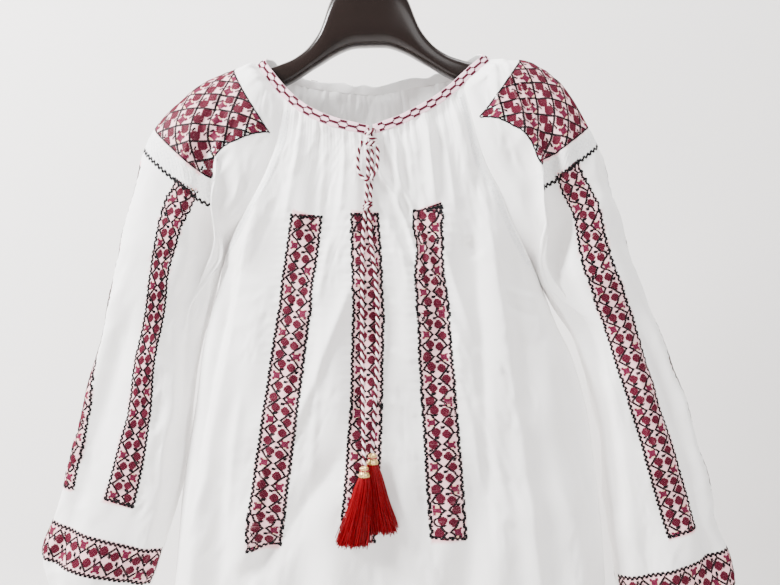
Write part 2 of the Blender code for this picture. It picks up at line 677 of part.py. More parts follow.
def stitch_rows(rows, closed_from=None):
    """Vertices and faces of a net whose rows may differ in their number of points.

    A row either has as many segments as the next or twice or half as many. From the row
    `closed_from` on, a row's last point is its first one.
    """
    points = []
    starts = []
    closed = []
    for number, row in enumerate(rows):
        joined = closed_from is not None and number >= closed_from
        starts.append(len(points))
        closed.append(joined)
        points.extend(row[:-1] if joined else row)

    def corner(number, step):
        count = len(rows[number]) - 1
        return starts[number] + (step % count if closed[number] else step)

    faces = []
    for number in range(len(rows) - 1):
        here = len(rows[number]) - 1
        below = len(rows[number + 1]) - 1
        for step in range(min(here, below)):
            if here == below:
                faces.append((corner(number, step), corner(number, step + 1),
                              corner(number + 1, step + 1), corner(number + 1, step)))
            elif here == 2 * below:
                upper = [corner(number, 2 * step + move) for move in range(3)]
                lower = [corner(number + 1, step + move) for move in range(2)]
                faces.append((upper[0], upper[1], lower[0]))
                faces.append((upper[1], lower[1], lower[0]))
                faces.append((upper[1], upper[2], lower[1]))
            else:
                upper = [corner(number, step + move) for move in range(2)]
                lower = [corner(number + 1, 2 * step + move) for move in range(3)]
                faces.append((upper[0], lower[1], lower[0]))
                faces.append((upper[0], upper[1], lower[1]))
                faces.append((upper[1], lower[2], lower[1]))
    return np.array(points), faces


def make_material(name, color, roughness, metallic=0.0):
    """Principled material of one colour."""
    material = bpy.data.materials.new(name)
    material.use_nodes = True
    shader = material.node_tree.nodes["Principled BSDF"]
    shader.inputs["Base Color"].default_value = (*color, 1.0)
    shader.inputs["Roughness"].default_value = roughness
    shader.inputs["Metallic"].default_value = metallic
    material.diffuse_color = (*color, 1.0)
    return material


def add_object(name, points, faces, material, shift=GARMENT_X):
    """Mesh object from points in millimetres."""
    mesh = bpy.data.meshes.new(name)
    moved = (np.asarray(points) + np.array([shift, 0.0, 0.0])) * MM
    mesh.from_pydata([tuple(point) for point in moved], [], [tuple(face) for face in faces])
    mesh.materials.append(material)
    mesh.shade_smooth()
    item = bpy.data.objects.new(name, mesh)
    bpy.context.scene.collection.objects.link(item)
    return item


def face_outwards(item):
    """Turn all faces of a closed mesh outwards."""
    net = bmesh.new()
    net.from_mesh(item.data)
    bmesh.ops.recalc_face_normals(net, faces=net.faces)
    net.to_mesh(item.data)
    net.free()


def add_cloth(name, rows, material, closed_from=None):
    """Cloth panel: the net of its middle surface, given the wall's thickness."""
    points, faces = stitch_rows(rows, closed_from)
    item = add_object(name, points, faces, material)
    solidify = item.modifiers.new("wall", "SOLIDIFY")
    solidify.thickness = WALL * MM
    solidify.offset = 0.0
    return item


def build_body(neckline, material):
    """Front and back."""
    for name, columns in (("front", FRONT_COLUMNS), ("back", BACK_COLUMNS)):
        edge = neckline.front_edge() if name == "front" else neckline.back_edge()
        fall = edge[:, 2].mean() - HEM_Z
        top_rows = np.array(GATHER_ROWS_MM) / fall
        raglan_rows = np.array(RAGLAN_ROWS_MM) / fall
        low_rows = np.linspace(raglan_rows[-1], 1.0, BODY_ROWS_BELOW + 1)[1:]
        all_rows = np.concatenate([top_rows, raglan_rows, low_rows])
        fine = body_panel(neckline, name, columns, all_rows)
        split = len(top_rows) - 1
        rows = [fine[number] for number in range(split)]
        rows += [fine[number][::2] for number in range(split, len(all_rows))]
        add_cloth(name, rows, material)


def build_sleeve(neckline, side, material):
    """One sleeve: open rows to the underarm, tube rows below, finer rows above the cuff.

    Its wall is cut across the tube into three lengths.
    """
    sleeve = Sleeve(neckline, side)
    neck_rows = sleeve.underarm * np.linspace(0.0, 1.0, SLEEVE_NECK_ROWS + 1) ** 1.15
    to_gathers = sleeve.length - 40.0
    tube_rows = np.linspace(sleeve.underarm, to_gathers, SLEEVE_TUBE_ROWS + 1)[1:]
    cuff_rows = to_gathers + 40.0 * (np.arange(1, SLEEVE_CUFF_ROWS + 1) / SLEEVE_CUFF_ROWS) ** 0.6
    for cut in SLEEVE_CUT_ROWS[::-1]:
        both_sides = tube_rows[cut] + SLEEVE_CUT_GAP * np.array([-1.0, 1.0])
        tube_rows = np.concatenate([tube_rows[:cut], both_sides, tube_rows[cut + 1:]])
    distances = np.concatenate([neck_rows, tube_rows, cuff_rows])
    even = np.linspace(0.0, 1.0, 2 * SLEEVE_COLUMNS_ROUND + 1)
    parts = np.interp(even, SLEEVE_COLUMN_SHARES, SLEEVE_ROUND_SHARES)
    fine = sleeve.points(distances, parts)
    rows = []
    for number, distance in enumerate(distances):
        gathered = distance < 12.0 or number >= len(distances) - SLEEVE_CUFF_ROWS
        rows.append(fine[number] if gathered else fine[number][::2])
    first = 0
    ends = [len(neck_rows) + cut + 1 + number for number, cut in enumerate(SLEEVE_CUT_ROWS)]
    for name, end in zip(SLEEVE_LENGTHS, ends + [len(rows)]):
        closed_from = SLEEVE_NECK_ROWS if first == 0 else 0
        add_cloth("sleeve_" + side + name, rows[first:end], material, closed_from=closed_from)
        first = end
    return sleeve


def sweep(points, across, out, half_width, half_thick):
    """Closed strip of rectangular section carried along a line."""
    corners = []
    for wide, thick in ((1, 1), (1, -1), (-1, -1), (-1, 1)):
        corners.append(points + wide * half_width * across + thick * half_thick * out)
    return np.stack(corners, axis=1)


def section_faces(count, sides, ring=False):
    """Faces of a skin round `count` sections, with end caps unless it is a ring."""
    faces = []
    for number in range(count if ring else count - 1):
        after = (number + 1) % count
        for side in range(sides):
            turned = (side + 1) % sides
            faces.append((number * sides + side, number * sides + turned,
                          after * sides + turned, after * sides + side))
    if not ring:
        faces.append(tuple(range(sides)))
        faces.append(tuple((count - 1) * sides + side for side in range(sides)))
    return faces


def build_neckband(neckline, material):
    """Strip round the neck whose two ends meet at the front."""
    picks = np.linspace(0, len(neckline.middle) - 1, 72).astype(int)
    strip = sweep(neckline.middle[picks], neckline.across[picks], neckline.out[picks],
                  NECKBAND_WIDTH / 2, NECKBAND_THICK / 2)
    faces = section_faces(len(picks), 4)
    face_outwards(add_object("neckband", strip.reshape(-1, 3), faces, material))


def build_cuff(sleeve, material):
    """Narrow band below the sleeve's last row, following its round."""
    parts = np.linspace(0.0, 1.0, 37)[:-1]
    rows = sleeve.points([sleeve.length - 12.0, sleeve.length], parts)
    last = rows[1]
    down = unit(last.mean(axis=0) - rows[0].mean(axis=0))
    middle = last + down * (CUFF_HEIGHT / 2 + BAND_GAP)
    out = middle - middle.mean(axis=0)
    out = unit(out - np.sum(out * down, axis=1, keepdims=True) * down)
    strip = sweep(middle, np.broadcast_to(down, middle.shape), out, CUFF_HEIGHT / 2, CUFF_THICK / 2)
    faces = section_faces(len(parts), 4, ring=True)
    face_outwards(add_object("cuff_" + sleeve.side, strip.reshape(-1, 3), faces, material))


def tip(item):
    """Tip a hanger piece about the hook."""
    item.data.transform(Matrix.Rotation(-HANGER_TIP, 4, "Y"))


def build_hanger(material):
    """Contoured hanger: rounded sections from one arm's tip to the other's."""
    stations = np.array(HANGER_STATIONS)
    half = smooth_curve(stations[:, 0], stations, np.linspace(0.0, 1.0, 17) ** 0.9 * stations[-1, 0])
    mirrored = half[:0:-1].copy()
    mirrored[:, 0] *= -1
    table = np.vstack([mirrored, half])
    turns = 2 * math.pi * np.arange(HANGER_SIDES) / HANGER_SIDES
    wide = np.sign(np.cos(turns)) * np.abs(np.cos(turns)) ** HANGER_SQUARENESS
    high = np.sign(np.sin(turns)) * np.abs(np.sin(turns)) ** HANGER_SQUARENESS
    middle_z = (table[:, 1] + table[:, 2]) / 2
    half_height = (table[:, 1] - table[:, 2]) / 2
    x = np.repeat(table[:, :1], HANGER_SIDES, axis=1)
    y = table[:, 4:5] + table[:, 3:4] * wide
    z = middle_z[:, None] + half_height[:, None] * high
    points = np.stack([x, y, z], axis=-1).reshape(-1, 3)
    faces = section_faces(len(table), HANGER_SIDES)
    item = add_object("hanger", points, faces, material, shift=0.0)
    face_outwards(item)
    tip(item)


def build_hook(material):
    """Wire hook with its round end, on a short collar on the hanger's top."""
    radius = HOOK_INNER_RADIUS + HOOK_WIRE
    centre_z = -HOOK_INNER_RADIUS
    top_z = HANGER_STATIONS[0][1] + FACE_GAP
    route = [(x, top_z + height) for x, height in HOOK_STEM]
    for degrees in range(HOOK_FIRST_DEGREES, HOOK_LAST_DEGREES, -16):
        angle = math.radians(degrees)
        route.append((radius * math.cos(angle), centre_z + radius * math.sin(angle)))
    route = np.array(route)
    keys = lengths_along(route)
    line = smooth_curve(keys, route, np.linspace(0.0, keys[-1], 30))
    along = unit(np.gradient(line, axis=0))
    side = np.stack([along[:, 1], -along[:, 0]], axis=-1)
    turns = 2 * math.pi * np.arange(8) / 8
    thick = np.full(len(line), HOOK_WIRE)
    thick[:FERRULE_POINTS] = FERRULE_RADIUS
    points = np.empty((len(line), len(turns), 3))
    points[..., 0] = line[:, None, 0] + thick[:, None] * np.cos(turns) * side[:, None, 0]
    points[..., 1] = thick[:, None] * np.sin(turns)
    points[..., 2] = line[:, None, 1] + thick[:, None] * np.cos(turns) * side[:, None, 1]
    faces = section_faces(len(line), len(turns))
    item = add_object("hanger_hook", points.reshape(-1, 3), faces, material, shift=0.0)
    face_outwards(item)
    tip(item)


def build_cord(name, route, material):
    """Round cord on a smooth curve through its route."""
    route = np.array(route)
    keys = lengths_along(route)
    count = max(8, int(keys[-1] / (3 * CORD_DIAMETER)) + 1)
    line = smooth_curve(keys, route, np.linspace(0.0, keys[-1], count))
    curve = bpy.data.curves.new(name, "CURVE")
    curve.dimensions = "3D"
    curve.bevel_depth = CORD_DIAMETER / 2 * MM
    curve.bevel_resolution = 2
    curve.use_fill_caps = True
    spline = curve.splines.new("POLY")
    spline.points.add(count - 1)
    for point, place in zip(spline.points, line):
        point.co = ((place[0] + GARMENT_X) * MM, place[1] * MM, place[2] * MM, 1.0)
    curve.materials.append(material)
    item = bpy.data.objects.new(name, curve)
    bpy.context.scene.collection.objects.link(item)


def build_knot(material):
    """Tie of the drawstring in front of the notch: a rounded lump."""
    net = bmesh.new()
    bmesh.ops.create_uvsphere(net, u_segments=12, v_segments=7, radius=1.0)
    for vertex in net.verts:
        swell = 1.0 + 0.08 * math.cos(3 * math.atan2(vertex.co.z, vertex.co.x))
        vertex.co = Vector((
            (KNOT_CENTRE[0] + GARMENT_X + KNOT_RADII[0] * swell * vertex.co.x) * MM,
            (KNOT_CENTRE[1] + KNOT_RADII[1] * vertex.co.y) * MM,
            (KNOT_CENTRE[2] + KNOT_RADII[2] * swell * vertex.co.z) * MM,
        ))
    mesh = bpy.data.meshes.new("tie_knot")
    net.to_mesh(mesh)
    net.free()
    mesh.materials.append(material)
    mesh.shade_smooth()
    item = bpy.data.objects.new("tie_knot", mesh)
    bpy.context.scene.collection.objects.link(item)


def turned_solid(name, profile, centre, material, sides=16):
    """Solid of revolution about a vertical axis through `centre`, from (radius, z) pairs."""
    turns = 2 * math.pi * np.arange(sides) / sides
    rings = []
    for radius, z in profile:
        ring = np.stack([radius * np.cos(turns), radius * np.sin(turns), np.full(sides, z)], axis=-1)
        rings.append(ring)
    points = np.stack(rings).reshape(-1, 3) + np.array(centre)
    item = add_object(name, points, section_faces(len(profile), sides), material)
    face_outwards(item)
    return item


def build_tassel(side, cap_material, tassel_material):
    """Beaded cap and a tassel whose strands grow from the underside of its head."""
    x, y, z, end_x = TASSELS[side]
    cap_profile = [(radius, -depth) for radius, depth in CAP_PROFILE]
    turned_solid("cap_" + side, cap_profile, (x, y, z), cap_material, sides=12)

    head_top = z - CAP_HEIGHT - 0.3
    spokes = TASSEL_STRAND_SPOKES
    turns = 2 * math.pi * np.arange(spokes) / spokes
    net = bmesh.new()

    def ring(radius, height):
        corners = []
        for turn in turns:
            place = ((x + GARMENT_X + radius * math.cos(turn)) * MM,
                     (y + TASSEL_HEAD_FLATNESS * radius * math.sin(turn)) * MM, height * MM)
            corners.append(net.verts.new(place))
        return corners

    top = ring(3.0, head_top)
    shoulder = ring(TASSEL_HEAD_RADIUS * 0.82, head_top - 2.5)
    rim = ring(TASSEL_HEAD_RADIUS, head_top - 7.0)
    net.faces.new(top)
    outer_rings = [top, shoulder, rim]
    for upper, lower in zip(outer_rings, outer_rings[1:]):
        for step in range(spokes):
            after = (step + 1) % spokes
            net.faces.new((upper[step], upper[after], lower[after], lower[step]))
    strand_faces = []
    above = rim
    for number in range(1, TASSEL_STRAND_RINGS + 1):
        shrink = 1 - number / (TASSEL_STRAND_RINGS + 0.35)
        inner = ring(TASSEL_HEAD_RADIUS * shrink, head_top - 7.0 - 0.4 * number)
        for step in range(spokes):
            after = (step + 1) % spokes
            strand_faces.append(net.faces.new((above[step], above[after], inner[after], inner[step])))
        above = inner
    net.faces.new(above)
    bmesh.ops.recalc_face_normals(net, faces=net.faces)
    bmesh.ops.inset_individual(net, faces=strand_faces, thickness=0.22 * MM)
    bmesh.ops.recalc_face_normals(net, faces=net.faces)
    grown = bmesh.ops.extrude_discrete_faces(net, faces=strand_faces)["faces"]
    axis = Vector(((x + GARMENT_X) * MM, y * MM, 0.0))
    for number, face in enumerate(grown):
        middle = face.calc_center_median()
        root = Vector((middle.x - axis.x, middle.y - axis.y, 0.0))
        reach = TASSEL_END_RADIUS / TASSEL_HEAD_RADIUS
        length = TASSEL_LENGTH - 8.0 + 3.0 * math.sin(2.4 * number)
        target = axis + root * reach + Vector(((end_x - x) * MM, 0.0, 0.0))
        target.y = axis.y + root.y * reach * TASSEL_END_FLATNESS / TASSEL_HEAD_FLATNESS
        move = Vector((target.x, target.y, (head_top - 7.0 - length) * MM)) - middle
        for vertex in face.verts:
            vertex.co = middle + (vertex.co - middle) * 0.8 + move
    mesh = bpy.data.meshes.new("tassel_" + side)
    bmesh.ops.recalc_face_normals(net, faces=net.faces)
    net.to_mesh(mesh)
    net.free()
    mesh.materials.append(tassel_material)
    item = bpy.data.objects.new("tassel_" + side, mesh)
    bpy.context.scene.collection.objects.link(item)


def build():
    """Build every piece of the blouse and its hanger."""
    clear_scene()
    cotton = make_material("white_cotton", (0.90, 0.90, 0.91), 0.75)
    band_cotton = make_material("neckband_cotton", (0.86, 0.80, 0.82), 0.8)
    cord_cotton = make_material("cord_cotton", (0.55, 0.16, 0.20), 0.8)
    gold = make_material("gold_bead", (0.80, 0.55, 0.22), 0.35, 1.0)
    thread = make_material("tassel_thread", (0.60, 0.01, 0.02), 0.5)
    plastic = make_material("hanger_plastic", (0.03, 0.022, 0.02), 0.25)
    steel = make_material("hook_steel", (0.62, 0.62, 0.63), 0.25, 1.0)

    neckline = Neckline()
    build_body(neckline, cotton)
    for side in ("left", "right"):
        sleeve = build_sleeve(neckline, side, cotton)
        build_cuff(sleeve, cotton)
    build_neckband(neckline, band_cotton)
    build_hanger(plastic)
    build_hook(steel)
    build_knot(cord_cotton)
    build_cord("drawstring_left", CORD_LEFT_ROUTE, cord_cotton)
    build_cord("drawstring_right", CORD_RIGHT_ROUTE, cord_cotton)
    build_cord("drawstring_loop", LOOP_ROUTE, cord_cotton)
    for side in ("left", "right"):
        build_tassel(side, gold, thread)


build()
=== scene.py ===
"""Dressed model of a gathered raglan blouse with cross-stitch bands, hung on a contoured hanger.

Tables are in millimetres, measured from the blouse's own middle line, which hangs GARMENT_X to
the right of the hook. X runs to the viewer's right, -Y is the front and +Z is up.
"""

import logging
import math
from dataclasses import dataclass, field
from enum import Enum, IntEnum

import bmesh
import bpy
import mathutils
import numpy as np
from bpy.types import Material, Node, NodeSocket, NodeTree, Object
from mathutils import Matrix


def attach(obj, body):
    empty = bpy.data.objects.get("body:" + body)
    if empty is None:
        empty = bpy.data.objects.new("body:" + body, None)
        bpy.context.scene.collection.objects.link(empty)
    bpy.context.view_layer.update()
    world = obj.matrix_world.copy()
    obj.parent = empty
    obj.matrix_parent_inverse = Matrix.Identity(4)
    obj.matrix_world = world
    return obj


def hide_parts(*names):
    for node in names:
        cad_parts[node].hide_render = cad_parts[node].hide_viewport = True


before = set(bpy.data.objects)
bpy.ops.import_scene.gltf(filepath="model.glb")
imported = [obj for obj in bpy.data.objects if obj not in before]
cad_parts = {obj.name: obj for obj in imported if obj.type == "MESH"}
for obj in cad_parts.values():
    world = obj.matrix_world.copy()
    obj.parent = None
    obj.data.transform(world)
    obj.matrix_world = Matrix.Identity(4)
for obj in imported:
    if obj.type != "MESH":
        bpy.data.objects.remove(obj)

Array = np.ndarray
Color = tuple[float, float, float]
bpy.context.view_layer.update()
LOG = logging.getLogger("blouse")

MM = 0.001
GARMENT_X = 6.0
HANGER_TIP = math.radians(1.5)
HEM_Z = -833.0
STITCH = 1.3
CLOTH_THICKNESS = 0.7
NECKBAND_WIDTH = 11.0
CUFF_HEIGHT = 14.0
CORD_DIAMETER = 3.8


# Middle line of the neckband: x, y, z from its left front end round the back to its right end.
NECK_ROUTE = (
    (-2.9, -38.5, -259), (-14, -38.4, -256.3), (-28, -37.8, -253.2), (-54.9, -35.5, -244.1),
    (-76.8, -31.5, -231.4), (-93.6, -26, -216.1), (-109, -17, -197.5), (-122.3, -3, -177),
    (-120, 10, -173), (-106, 23, -181), (-82, 31.5, -189), (-45, 37, -194),
    (0, 39, -197.5), (45, 37, -190), (82, 31.5, -184.5), (108, 23, -175.5),
    (123, 10, -167.5), (126.5, -3, -171), (107.6, -17, -190.9), (90.5, -26, -208.5),
    (73.9, -31.5, -222.8), (52.2, -35.5, -236.6), (30.8, -37.8, -247.8), (14, -38.4, -254),
    (3.2, -38.5, -257.8),
)
RAGLAN_TOP_X = {"front_left": -92, "back_left": -96, "front_right": 96, "back_right": 99.0}

# Side seams below the underarms, shared by the front and the back: x, y, z.
SIDE_LEFT = (
    (-165.5, 0, -402), (-171, 0, -429), (-177.3, 0, -448), (-188.4, 0, -499.5),
    (-195.5, 0, -555), (-204.8, 0, -611), (-211.9, 0, -667), (-216.3, 0, -722.5),
    (-228, 0, HEM_Z),
)
SIDE_RIGHT = (
    (189.5, 0, -428), (206.3, 0, -470.5), (220.8, 0, -499.5), (232, 0, -535),
    (240.5, 0, -570), (246.4, 0, -615.5), (252, 0, -660), (256.5, 0, -705),
    (264, 0, HEM_Z),
)
# Raglan seams above the underarms: x, y, z.
SEAMS = {
    "front_left": (
        (-99.9, -33, -263.4), (-112, -36, -300.5), (-130.7, -36, -337),
        (-144.3, -30, -360.5), (-154.7, -19, -379.1), (-161.6, -7, -392.3),
    ) + SIDE_LEFT,
    "back_left": (
        (-106.5, 33, -220.5), (-120.4, 36, -268.7), (-141.2, 36, -320.7),
        (-155.5, 29, -355.6), (-162.1, 18, -376.9), (-164.4, 7, -391.7),
    ) + SIDE_LEFT,
    "front_right": (
        (107.2, -32, -238.2), (113.8, -35, -266.7), (123.9, -36, -295.7),
        (137.8, -36, -322.6), (148.9, -34, -350.2), (163.4, -28, -379.7),
        (174.8, -18, -400.6), (183.7, -7, -416.1),
    ) + SIDE_RIGHT,
    "back_right": (
        (110.2, 33, -208.1), (124, 36, -258.3), (144.8, 36, -312.4),
        (162.8, 31, -355.4), (173.7, 22, -384.9), (181.8, 10, -405.7),
    ) + SIDE_RIGHT,
}
# How far a panel's middle stands out from the side seams' plane: z, front, back.
BODY_DEPTH = (
    (-180, 39, 38), (-260, 40, 40), (-350, 43, 41), (-450, 46, 42),
    (-600, 49, 44), (-720, 51, 46), (HEM_Z, 54, 50),
)
BODY_SQUARENESS = 3.0
BODY_ROUNDNESS = 0.55

# Sleeve sections from the neckband to the cuff: x and z of the inner and the outer edge, z of the
# back's inner edge, depth of the front and the back, then spread, tuck and lap of the shoulder's fold.
SLEEVE_ROWS = {
    "left": (
        (-101, -240, -139.4, -180.5, -206, 31, 31, 1, 0, 0),
        (-107, -262, -160, -188, -228, 34, 33, 1, 0, 0),
        (-117, -292, -199, -213, -262, 37, 35, 1, 1, 0),
        (-129, -318, -237.5, -250, -296, 39, 36, 1.1, 6, 4),
        (-140, -340, -251.5, -278, -322, 38, 36, 1.35, 13, 9),
        (-155, -370, -264, -322, -362, 36, 36, 1.5, 15, 7),
        (-167.2, -402, -277, -372, -402, 35, 36, 1.5, 11, 4),
        (-178, -437, -286.5, -412, -437, 35, 37, 1.3, 5, 1),
        (-193.5, -500, -300.5, -473, -500, 35, 38, 1.1, 0, 0),
        (-205.5, -588, -322.5, -562, -588, 34, 38, 1, 0, 0),
        (-218, -665, -341.5, -638, -665, 33, 37, 1, 0, 0),
        (-235.3, -719, -357.5, -688, -719, 32, 36, 1, 0, 0),
        (-247, -756, -366.8, -727, -756, 31, 34, 1, 0, 0),
        (-269, -797, -358, -780, -797, 27, 28, 1, 0, 0),
    ),
    "right": (
        (106.5, -218, 148.3, -175.5, -192, 31, 31, 1, 0, 0),
        (111, -240, 170, -175.5, -216, 34, 33, 1, 0, 0),
        (119, -270, 206, -200, -252, 37, 35, 1, 1, 0),
        (133, -302, 239.5, -251, -292, 39, 36, 1, 6, 4),
        (146, -330, 252.5, -277, -322, 38, 36, 1.15, 13, 9),
        (163, -370, 268, -325, -366, 36, 36, 1.4, 15, 7),
        (191.2, -428, 291, -399, -428, 35, 36, 1.5, 9, 3),
        (205, -452, 300, -426, -452, 35, 37, 1.3, 4, 1),
        (223.5, -478, 310, -452, -478, 36, 38, 1.1, 0, 0),
        (243, -531, 331, -504, -531, 36, 40, 1, 0, 0),
        (254.2, -574, 345.5, -548, -574, 36, 40, 1, 0, 0),
        (263, -649, 368, -620, -649, 35, 38, 1, 0, 0),
        (271.5, -722.5, 386.9, -693.5, -722.5, 34, 36, 1, 0, 0),
        (275, -757, 396.5, -725, -757, 32, 35, 1, 0, 0),
        (285, -795, 403.5, -764, -795, 31, 33, 1, 0, 0),
        (309, -836, 397, -819, -836, 27, 28, 1, 0, 0),
    ),
}
UNDERARM_ROW = 6
SLEEVE_BACK_SHIFT = 7.0
TUCK_AT = 0.30
SLEEVE_COLUMN_SHARES = (0, 0.42, 0.60, 1)
SLEEVE_ROUND_SHARES = (0, 0.25, 0.50, 1)

# Hanger: x of the station, its top and bottom edges, half its thickness.
HANGER_STATIONS = (
    (0, -83, -158.5, 17), (22, -84, -160, 17), (34, -91.5, -164.5, 16),
    (43, -108, -169, 15), (54, -137.5, -175.5, 13.5), (66, -155.5, -182.5, 12),
    (82, -168.5, -192.5, 10.5), (100, -176, -201.5, 9.5), (120, -181.5, -207.5, 9.5),
    (140, -185.5, -212, 10), (160, -189.4, -215.5, 10.5), (175, -194, -219, 10.5),
    (190, -204, -224, 9.5), (200, -210.5, -227, 7.5), (205, -217.5, -226, 4),
)

# Routes of the drawstring: x, y, z.
CORD_ROUTES = {
    "drawstring_left": (
        (-3.6, -44.4, -280.4), (-3.4, -44.4, -290), (-3.3, -44.6, -303), (-3.6, -44.9, -316),
        (-4.8, -45.5, -330), (-6.6, -46.4, -350), (-8.5, -47.6, -376.5), (-9, -49.4, -420),
        (-9.2, -52, -470), (-8.6, -55.4, -520), (-7.6, -60, -570), (-6.6, -65.4, -611.2),
    ),
    "drawstring_right": (
        (1.6, -44.4, -280.3), (1.3, -44.3, -290), (0.9, -44.6, -303), (0.6, -44.9, -316),
        (-0.5, -45.5, -330), (-1.8, -46.4, -350), (0.4, -47.6, -380), (5.6, -49.3, -425),
        (7, -51, -475), (5.6, -52.8, -525), (3.4, -55, -567), (1.9, -57.3, -599.7),
    ),
    "drawstring_loop": (
        (-8.9, -44.9, -271.4), (-12.3, -45.3, -280), (-13.8, -45.7, -292),
        (-12, -47, -306), (-4.3, -49.4, -313.4), (4, -49, -307), (7, -47, -294),
        (7.3, -45.6, -284), (6.5, -44.9, -275.8),
    ),
}
# Tassels: x, y and z of the cap's top, and x of the middle of the strands' lower end.
TASSELS = {"left": (-6.5, -65.6, -611.5, -19.5), "right": (1.9, -57.3, -600, 11.2)}


class Side(Enum):
    """The viewer's left or right half."""

    LEFT = "left"
    RIGHT = "right"

    @property
    def sign(self) -> float:
        """-1 on the left, +1 on the right."""
        return -1.0 if self is Side.LEFT else 1.0


class Thread(IntEnum):
    """Embroidery threads by the number that a chart holds."""

    NONE = 0
    BLACK = 1
    CRIMSON = 2
    PINK = 3
    MAROON = 4
    WHITE = 5
    CREAM = 6


THREAD_COLORS = np.array([
    (0.0, 0.0, 0.0), (0.003, 0.002, 0.003), (0.084, 0.004, 0.016), (0.125, 0.009, 0.034),
    (0.062, 0.004, 0.014), (0.88, 0.88, 0.88), (0.80, 0.50, 0.36),
])


def smooth_curve(keys: Array, values: Array, at: Array, settle: bool = False) -> Array:
    """Values of the smooth curve through a table's rows: cubic pieces sharing slopes at the rows.

    Args:
        keys: the rows' places, rising or falling.
        values: one or more columns of values.
        at: the places wanted.
        settle: keeps the curve between two neighbouring rows' values.

    Returns:
        The values at each wanted place.
    """
    keys = np.asarray(keys, dtype=float)
    values = np.asarray(values, dtype=float).reshape(len(keys), -1)
    if keys[0] > keys[-1]:
        keys = keys[::-1]
        values = values[::-1]
    slopes = np.gradient(values, keys, axis=0)
    if settle:
        chords = np.diff(values, axis=0) / np.diff(keys)[:, None]
        product = np.maximum(chords[:-1] * chords[1:], 0.0)
        total = chords[:-1] + chords[1:]
        slopes[1:-1] = np.where(product > 0, 2 * product / np.where(product > 0, total, 1.0), 0.0)
    at = np.clip(np.asarray(at, dtype=float), keys[0], keys[-1])
    piece = np.clip(np.searchsorted(keys, at, side="right") - 1, 0, len(keys) - 2)
    span = keys[piece + 1] - keys[piece]
    part = ((at - keys[piece]) / span)[..., None]
    span = span[..., None]
    weight = 2 * part**3 - 3 * part**2 + 1
    return (
        weight * values[piece]
        + (part**3 - 2 * part**2 + part) * span * slopes[piece]
        + (1 - weight) * values[piece + 1]
        + (part**3 - part**2) * span * slopes[piece + 1]
    )


def unit(vectors: Array) -> Array:
    """Vectors scaled to length 1."""
    return vectors / np.maximum(np.linalg.norm(vectors, axis=-1, keepdims=True), 1e-9)


def lengths_along(points: Array) -> Array:
    """Distance of each point of a polyline from its first point."""
    steps = np.linalg.norm(np.diff(points, axis=0), axis=1)
    return np.concatenate([[0.0], np.cumsum(steps)])


def step_up(value: Array) -> Array:
    """Smooth step from 0 at 0 to 1 at 1."""
    value = np.clip(value, 0.0, 1.0)
    return value * value * (3 - 2 * value)


def smoothed(values: Array, reach: int) -> Array:
    """Values averaged over `reach` neighbours each way, after odd ones are dropped."""
    every = np.arange(len(values))
    padded = np.pad(values, reach, mode="reflect", reflect_type="odd")
    windows = np.lib.stride_tricks.sliding_window_view(padded, 2 * reach + 1)
    middle = np.median(windows, axis=1)
    kept = np.abs(values - middle) < 1.5
    filled = np.interp(every, every[kept], values[kept])
    padded = np.pad(filled, reach, mode="reflect", reflect_type="odd")
    weights = np.hanning(2 * reach + 3)[1:-1]
    return np.convolve(padded, weights / weights.sum(), mode="valid")


def spread_along(points: Array, parts: Array) -> Array:
    """Points of a polyline at the given parts (0 to 1) of its length."""
    distance = lengths_along(points)
    wanted = np.asarray(parts) * distance[-1]
    return np.stack([np.interp(wanted, distance, points[:, axis]) for axis in range(3)], axis=-1)


def soft_noise(u: Array, v: Array, seed: int, size_u: float, size_v: float) -> Array:
    """Smooth uneven height: a sum of sines of random direction, length and phase.

    Args:
        u: first coordinate, millimetres.
        v: second coordinate, millimetres.
        seed: draws the sines.
        size_u: usual wavelength along u.
        size_v: usual wavelength along v.

    Returns:
        Heights of about -1 to 1.
    """
    draw = np.random.default_rng(seed)
    total = np.zeros(np.broadcast(u, v).shape)
    count = 14
    for _ in range(count):
        turn = draw.uniform(0, math.tau)
        size = draw.uniform(0.6, 1.7)
        phase = draw.uniform(0, math.tau)
        total += np.sin(math.tau * (math.cos(turn) * u / size_u + math.sin(turn) * v / size_v) / size + phase)
    return total / math.sqrt(count)


def fold_field(x: Array, z: Array, folds: tuple) -> Array:
    """Height of straight folds: round troughs and ridges that fade at both ends.

    Args:
        x: across, millimetres.
        z: height, millimetres.
        folds: rows of start x, start z, end x, end z, half width, height.

    Returns:
        Height of the cloth at each place.
    """
    height = np.zeros_like(x)
    for start_x, start_z, end_x, end_z, half_width, rise in folds:
        run = np.array([end_x - start_x, end_z - start_z])
        length = np.hypot(*run)
        along = ((x - start_x) * run[0] + (z - start_z) * run[1]) / length**2
        off = ((x - start_x) * run[1] - (z - start_z) * run[0]) / length
        ends = step_up((along + 0.15) / 0.3) * step_up((1.15 - along) / 0.3)
        far = (off / half_width) ** 2
        height += rise * (0.72 * np.exp(-far) + 0.28 * np.exp(-np.sqrt(far * 6 + 0.02))) * ends
    return height


def crumple(u: Array, v: Array, seed: int, size_u: float, size_v: float) -> Array:
    """Small creases: the valleys and crests of a soft noise's absolute value, pulled about by another.

    Args:
        u: first coordinate, millimetres.
        v: second coordinate, millimetres.
        seed: draws the noises.
        size_u: usual wavelength along u.
        size_v: usual wavelength along v.

    Returns:
        Heights of about -1 to 1.
    """
    pull = soft_noise(u, v, seed + 50, 2.5 * size_u, 2.5 * size_v)
    base = soft_noise(u + 0.3 * size_u * pull, v, seed, size_u, size_v)
    patch = step_up(0.5 + 0.8 * soft_noise(u, v, seed + 90, 4 * size_u, 3 * size_v))
    return (1.0 - 1.6 * np.sqrt(base**2 + 0.01)) * patch


